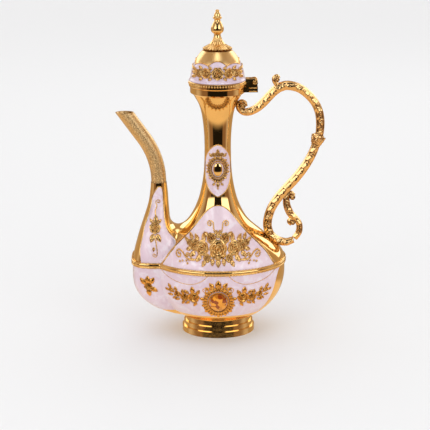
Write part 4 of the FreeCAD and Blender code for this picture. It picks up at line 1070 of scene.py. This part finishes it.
# The swag, and the work on the bowl, are gilded a deeper, redder shade.
# Deep gold has painted shade in its recesses out to 1.4 mm.
deep_gold = gilded("deep_gold", (1.0, 0.54, 0.14), SHADOW_GOLD, 0.18, 0.12, 0.08, 1500.0, 1.4)
SWAG_STEPS = 10
for ending, side in SIDES:
    medal = oval_frame(0, 168.2, 9.0, 12.2, 30, 24, 2.5, 0.62)
    spray = bmesh.new()
    add_roses(spray, (3.6, 182.6, 2.2, 1.5, 7, 24, 12))
    add_leaves(spray, 1.2, (5.2, 180.4, 0.7, 4.4, 2.8))
    add_leaves(spray, 1.1, (2.6, 154.4, 2.2, 3.4, 2.4))
    mirror_over(spray)
    join_into(medal, spray)
    add_roses(medal, (0, 183.4, 2.6, 1.8, 8, 24, 12))
    add_leaves(medal, 1.2, (0, 184.4, 0, 4.0, 3.0))
    add_leaves(medal, 1.3, (0, 155.6, math.pi, 5.6, 3.4))
    add_berries(medal, (0, 149.4, 0.8))
    lay_on_body(medal, side, 0.5)
    make_piece("neck_frame_" + ending, medal, cast_gold, "pot", ["neck_medallion_" + ending])
    boss = bmesh.new()
    bmesh.ops.create_uvsphere(boss, u_segments=40, v_segments=24, radius=1.0)
    bmesh.ops.scale(boss, verts=boss.verts, vec=Vector((4.5, 1.9, 6.8)) * MM)
    surface_y = shell_skin.ray_cast(Vector((0, side * FAR_OUT, 0.168)), Vector((0, -side, 0)))[0].y
    move(boss, (0, surface_y + side * 1.0 * MM, 0.1682))
    make_piece("neck_boss_" + ending, boss, mirror_gold, "pot", ["neck_cabochon_" + ending])
    swag = bmesh.new()
    for number in range(SWAG_STEPS + 1):
        spin = math.pi * number / SWAG_STEPS
        add_roses(swag, (9.4 * math.cos(spin), 238.6 - 8.6 * math.sin(spin), 2.1, 1.7, 10 + number, 20, 10))
        if number < SWAG_STEPS:
            half_way = spin + math.pi / (2 * SWAG_STEPS)
            over, under = math.cos(half_way), math.sin(half_way)
            frond = leaf(3.0, 2.0, 1.0, 2, along=6, across=6)
            join_into(swag, put(frond, 10.0 * over, 238.2 - 9.4 * under, math.atan2(over, -under)))
            add_berries(swag, (7.2 * over, 238.2 - 6.2 * under, 0.7))
    lay_on_body(swag, side, 0.0)
    make_piece("collar_swag_" + ending, swag, deep_gold, "pot", ["neck_swag_" + ending])

# ---- sprig on the spout's root -----------------------------------------------------------
# One cast rose with leaves, and curled tendrils above and below it.

for ending, side in SIDES:
    sprig = bmesh.new()
    add_roses(sprig, (-61.2, 111.0, 5.6, 2.0, 31))
    add_leaves(sprig, 1.4, (-60.8, 115.6, 0.1, 7.4, 4.6))
    add_leaves(sprig, 1.3, (-58.6, 115.0, 0.7, 5.4, 3.2))
    add_leaves(sprig, 1.2, (-63.4, 115.6, -0.6, 4.8, 3.0))
    add_leaves(sprig, 1.4, (-62.6, 105.4, 3.49, 8.4, 5.0), (-59.6, 105.4, 2.64, 8.4, 5.0))
    add_leaves(sprig, 1.2, (-62.2, 93.4, 3.3, 4.4, 2.8))
    for stalk, winding in (
        ([(-60.6, 122.0), (-60.8, 127.0), (-59.4, 131.0)], (-57.8, 135.2, 2.6, -2.6, 1.0)),
        ([(-61.2, 104.0), (-60.0, 96.0), (-59.2, 90.0)], (-61.8, 86.0, 2.6, 0.2, 1.0)),
    ):
        join_into(sprig, tendril(stalk, winding, 0.7))
    lay_on_body(sprig, side, 0.5)
    make_piece("spout_sprig_" + ending, sprig, cast_gold, "pot", ["spout_spray_" + ending])

# ---- jewel, its frame and the garland on the bowl ------------------------------------------
# A faceted amber glass stone is set in a crowned cast frame, with a garland of
# roses and leaves rising on either side of it.


def amber_glass():
    """Cut glass of one amber colour, highly polished, with painted shade and painted highlights: random cells
    darker and brighter, like facets.
    """
    finish = bpy.data.materials.new("amber_glass")
    glass = Nodes(finish)
    place = glass.add("TexCoord").outputs["Object"]
    # Painted shade and highlights: each Voronoi cell gets a tone between dark and bright amber, standing in
    # for facets that catch light or lie in shade.
    painted_facet_light = glass.add("TexVoronoi")
    glass.link(place, painted_facet_light.inputs["Vector"])
    painted_facet_light.inputs["Scale"].default_value = 260.0
    shade = glass.add("RGBToBW")
    glass.link(painted_facet_light.outputs["Color"], shade.inputs[0])
    tone = glass.mix(glass.step(shade.outputs[0], 0.25, 0.75), (0.3, 0.045, 0.004), (0.95, 0.36, 0.03))
    shader = glass.add("BsdfPrincipled")
    glass.link(tone, shader.inputs["Base Color"])
    glass.link(glass.step(glass.noise(place, 400.0), 0.3, 0.7, 0.03, 0.08), shader.inputs["Roughness"])
    shader.inputs["IOR"].default_value = 1.6
    shader.inputs["Coat Weight"].default_value = 0.5
    glass.close(shader)
    return finish


amber = amber_glass()
for ending, side in SIDES:
    crown = oval_frame(0, 44.8, 14.2, 15.8, 40, 28, 3.4, 0.85)
    sides = bmesh.new()
    add_leaves(sides, 1.6, (4.6, 61.0, 0.75, 6.4, 4.4))
    add_leaves(sides, 1.4, (8.6, 58.6, 1.1, 5.0, 3.4))
    join_into(sides, tendril([(4.0, 60.4), (9.4, 60.6)], (12.8, 57.6, 2.6, 1.9, 0.9), 0.8))
    mirror_over(sides)
    join_into(crown, sides)
    add_leaves(crown, 1.8, (0, 60.0, 0, 8.6, 6.4))
    add_roses(crown, (0, 60.8, 3.2, 2.0, 41, 28, 12))
    lay_on(crown, bowl_skin, side, 0.2)
    make_piece("jewel_frame_" + ending, crown, deep_gold, "pot", ["bowl_medallion_" + ending])
    stone = bmesh.new()
    bmesh.ops.create_uvsphere(stone, u_segments=12, v_segments=8, radius=1.0)
    rotate(stone, Matrix.Rotation(math.pi / 2, 3, "X"))
    bmesh.ops.scale(stone, verts=stone.verts, vec=Vector((8.4, 3.8, 10.6)) * MM)
    inward = Vector((0, -side, 0))
    set_at, set_square, _, _ = bowl_skin.ray_cast(Vector((0, side * FAR_OUT, 0.0448)), inward)
    rotate(stone, Vector((0, side, 0)).rotation_difference(set_square).to_matrix())
    move(stone, set_at + set_square * 0.1 * MM)
    make_piece("jewel_" + ending, stone, amber, "pot", ["bowl_jewel_" + ending], smooth=False)
    vine = bmesh.new()
    add_roses(vine, (23.6, 49.8, 5.8, 2.2, 42), (32.4, 48.6, 4.2, 2.0, 43, 32, 14))
    add_roses(vine, (39.4, 51.0, 3.4, 1.8, 44, 32, 14), (45.4, 54.2, 2.6, 1.6, 45, 24, 12))
    add_leaves(
        vine,
        1.5,
        (24.6, 54.2, 0.1, 7.0, 4.6),
        (20.6, 53.4, -0.5, 5.6, 3.6),
        (28.6, 53.0, 0.8, 5.6, 3.4),
        (29.4, 47.0, 1.5, 5.6, 3.2),
        (21.0, 44.4, 2.6, 5.4, 3.4),
        (27.4, 44.8, 2.2, 5.2, 3.2),
        (35.8, 49.6, 0.7, 5.4, 3.0),
        (37.0, 46.2, 1.9, 5.0, 2.8),
        (43.0, 52.0, 0.7, 5.0, 2.8),
        (43.6, 49.0, 1.5, 5.0, 2.6),
        (47.2, 53.0, 1.1, 4.4, 2.2),
        (17.6, 48.6, -1.4, 5.0, 3.2),
        (33.6, 52.0, 0.2, 5.4, 3.6),
        (40.4, 54.0, 0.3, 5.0, 3.2),
        (45.8, 56.4, 0.5, 4.6, 2.8),
        (32.6, 44.6, 2.6, 4.6, 3.0),
        (40.4, 47.6, 2.2, 4.4, 2.8),
    )
    mirror_over(vine)
    add_roses(vine, (-68.6, 54.0, 4.2, 1.8, 46, 32, 14))
    for x, z, turn in ((-69.0, 57.0, 0), (-67.0, 56.6, 0.6), (-71.0, 56.0, -0.7), (-68.6, 51.0, 2.9)):
        add_leaves(vine, 1.3, (x, z, turn, 8.0, 5.0))
    add_leaves(vine, 1.3, (-66.0, 52.6, 2.1, 8.0, 5.0))
    lay_on(vine, bowl_skin, side, 0.5)
    make_piece("rose_garland_" + ending, vine, deep_gold, "pot", ["bowl_garland_" + ending])

# ---- hinge ---------------------------------------------------------------------------------
# A block on the collar and a leaf on the lid are joined by a gilded brass pin.
# A small scroll closes each end of the lid's leaf, and beading edges the block.

finish_nodes(turned_gold, "hinge_bracket", "lid_leaf", "hinge_pin")
leaf_low, leaf_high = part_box("lid_leaf")
block_low, block_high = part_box("hinge_bracket")
SUNK = 0.2
for ending, side in SIDES:
    reach = side * min(abs(leaf_low.y), abs(leaf_high.y))
    end = leaf_high / MM
    scroll = wire(coil(end.x - 3.0, end.z - 3.0, 2.7, 1.6, 1.4, 28), 0.55, 0.45, sides=8)
    join_into(scroll, put(berry(0.9, 0.0), end.x - 3.0, end.z - 3.0))
    move(scroll, (0, reach - side * SUNK * MM, 0))
    make_piece("hinge_scroll_" + ending, scroll, cast_gold, "lid")
    bars = bmesh.new()
    for level in (block_low.z / MM + 0.9, block_low.z / MM + 4.2):
        bar = flat([(x, level) for x in (30.0, 34.0, 38.0, end.x - 0.8)])
        join_into(bars, wire(bar, 0.5, sides=8))
    block_reach = side * min(abs(block_low.y), abs(block_high.y))
    move(bars, (0, block_reach - side * SUNK * MM, 0))
    make_piece("hinge_beading_" + ending, bars, cast_gold, "pot")

# ---- lid --------------------------------------------------------------------------------------
# The dome is spun from brass. A beaded rim closes on the collar, a lilac enamel
# band with a scalloped gold edge runs round it, and the crown is satin gold.

satin_gold = gilded("satin_gold", (0.95, 0.66, 0.3), SHADOW_GOLD, 0.27, 0.05, 0.008, 1600.0)
finish_nodes(turned_gold, "lid_rim")
finish_nodes(satin_gold, "lid_dome")
lilac_enamel = pearl_enamel("lilac_pearl_enamel", (0.86, 0.78, 0.86), (0.76, 0.62, 0.71), (0.68, 0.53, 0.64))
BEADS = 64
BEAD_RADIUS = 1.05
BEAD_RING, BEAD_LEVEL = 27.1, 250.8
beads = bmesh.new()
for number in range(BEADS):
    spin = math.tau * number / BEADS
    bead = bmesh.new()
    bmesh.ops.create_icosphere(bead, subdivisions=2, radius=BEAD_RADIUS * MM)
    move(bead, Vector((BEAD_RING * math.cos(spin), BEAD_RING * math.sin(spin), BEAD_LEVEL)) * MM)
    join_into(beads, bead)
make_piece("lid_beads", beads, turned_gold, "lid")

DOME_SHAPE = [(25.4, 253.6), (25.2, 258.0), (24.5, 262.0), (23.4, 266.0), (21.9, 270.0)]
DOME_SHAPE += [(19.9, 274.0), (17.4, 278.0)]


def dome_radius(height):
    """Radius of the dome's side at a height, in millimetres."""
    for (wide, low), (narrow, high) in zip(DOME_SHAPE, DOME_SHAPE[1:]):
        if height <= high:
            return wide + (narrow - wide) * (height - low) / (high - low)
    return DOME_SHAPE[-1][0]


QUARTER = math.pi / 2
VALLEY, TALL_ARCH, LOW_ARCH = 269.8, 4.4, 2.0
ENAMEL_FOOT = 253.5
AROUND = 240


def scallop_top(spin):
    """Height of the enamel's upper edge: tall and low arches in turn."""
    turn = (spin / QUARTER + 0.5) % 1.0 - 0.5
    if abs(turn) < 0.25:
        return VALLEY + TALL_ARCH * math.cos(2 * math.pi * turn) ** 0.8
    return VALLEY + LOW_ARCH * math.sin(2 * math.pi * (abs(turn) - 0.25)) ** 0.8


def dome_place(spin, height, lift):
    wide = dome_radius(height) + lift
    return Vector((wide * math.cos(spin), wide * math.sin(spin), height)) * MM


enamel = bmesh.new()


def enamel_band(u, v):
    spin = math.tau * u
    height = ENAMEL_FOOT + (scallop_top(spin) - ENAMEL_FOOT) * v
    flare = 1.7 * math.exp(-(((height - ENAMEL_FOOT) / 1.6) ** 2))
    return dome_place(spin, height, 0.5 + flare)


grid_of(enamel, AROUND, 16, enamel_band)
merge(enamel)
thicken(enamel, 0.6)
make_piece("lilac_band", enamel, lilac_enamel, "lid", ["lid_enamel"])
edging = bmesh.new()


def edge_wire(u, v):
    spin = math.tau * v
    height = scallop_top(spin)
    round_it = math.tau * u
    return dome_place(spin, height + 0.55 * math.sin(round_it), 0.45 + 0.75 * math.cos(round_it))


grid_of(edging, 8, AROUND, edge_wire)
merge(edging)
make_piece("scalloped_edge", edging, cast_gold, "lid")
dome_skin = skin_of("lid_dome")
for ending, side in SIDES:
    half = bmesh.new()
    add_roses(half, (10.6, 262.9, 4.9, 2.2, 52), (17.6, 262.6, 3.8, 2.0, 53, 32, 14))
    for x, high, low, turn in (
        (5.6, 266.4, 259.4, 2.4),
        (14.2, 266.2, 259.0, 2.4),
        (20.2, 264.6, 260.4, 2.3),
    ):
        add_leaves(half, 1.4, (x, high, 0.7, 4.2, 2.8), (x, low, turn, 4.2, 2.8))
    join_into(half, tendril([(19.6, 263.0)], (21.6, 262.4, 1.6, 2.2, 0.9), 0.7))
    mirror_over(half)
    add_roses(half, (0, 262.9, 6.0, 2.4, 51, 56, 20))
    lay_on(half, dome_skin, side, 0.6)
    make_piece("dome_garland_" + ending, half, cast_gold, "lid", ["lid_garland_" + ending])

# ---- finial --------------------------------------------------------------------------------
# A rosette of cast leaves covers the top of the dome. Above it stands a turned
# finial with a fluted foot, on a stud that the nut inside the lid holds.

rosette = bmesh.new()
LEAVES = 14
LEAF_START, LEAF_REACH, LEAF_TOP = 5.0, 8.6, 287.0
for number in range(LEAVES):
    spin = math.tau * number / LEAVES
    frond = bmesh.new()

    def frond_place(u, v):
        side = 2 * u - 1
        reach = LEAF_START + LEAF_REACH * v
        width = (1.2 + 1.7 * math.sin(math.pi * min(v, 0.98) ** 1.3)) * (1 + 0.1 * math.sin(18 * v))
        rise = LEAF_TOP - 4.6 * v**1.2 + 0.9 * (1 - side**2) - 0.8 * math.exp(-((side / 0.15) ** 2))
        rise += 1.0 * max(0.0, v - 0.75) * 4 * 0.35
        turn = spin + side * width / reach
        return Vector((reach * math.cos(turn), reach * math.sin(turn), rise)) * MM

    grid_of(frond, 8, 10, frond_place)
    thicken(frond, 0.7)
    join_into(rosette, frond)
neck = bmesh.new()
FLUTES = 12
NECK_SHAPE = [(12.0, 283.6), (10.6, 285.2), (8.4, 286.4), (6.6, 288.2), (5.0, 290.4), (4.0, 292.6)]
NECK_SHAPE += [(3.7, 294.0)]


def fluted(u, v):
    number = v * (len(NECK_SHAPE) - 1)
    low = min(int(number), len(NECK_SHAPE) - 2)
    share = number - low
    wide = NECK_SHAPE[low][0] * (1 - share) + NECK_SHAPE[low + 1][0] * share
    height = NECK_SHAPE[low][1] * (1 - share) + NECK_SHAPE[low + 1][1] * share
    spin = math.tau * u
    wide *= 1 + 0.09 * (abs(math.cos(FLUTES * spin / 2)) - 0.5)
    return Vector((wide * math.cos(spin), wide * math.sin(spin), height)) * MM


grid_of(neck, 96, 18, fluted)
sew(neck)
join_into(rosette, neck)
make_piece("leaf_rosette", rosette, cast_gold, "lid", ["finial_rosette"])
FINIAL = [(3.9, 293.4), (3.5, 294.6), (3.2, 296.0), (3.3, 297.0), (4.4, 297.9), (5.6, 299.2), (6.1, 301.0)]
FINIAL += [(6.0, 303.0), (5.2, 305.2), (4.2, 307.4), (3.3, 309.0), (2.9, 310.4), (3.3, 311.0), (4.2, 311.8)]
FINIAL += [(4.3, 312.8), (3.4, 313.6), (3.2, 314.6), (2.6, 316.4), (1.6, 318.2), (2.0, 319.0), (1.4, 319.7)]
FINIAL += [(0, 320.0)]
turned_line = smooth_line(flat(FINIAL), 4)
turned_line[-1].x = 0
stalk = turn_on_lathe(turned_line, (0, 0, 1), 48)
sew(stalk)
make_piece("turned_finial", stalk, turned_gold, "lid", ["finial"])
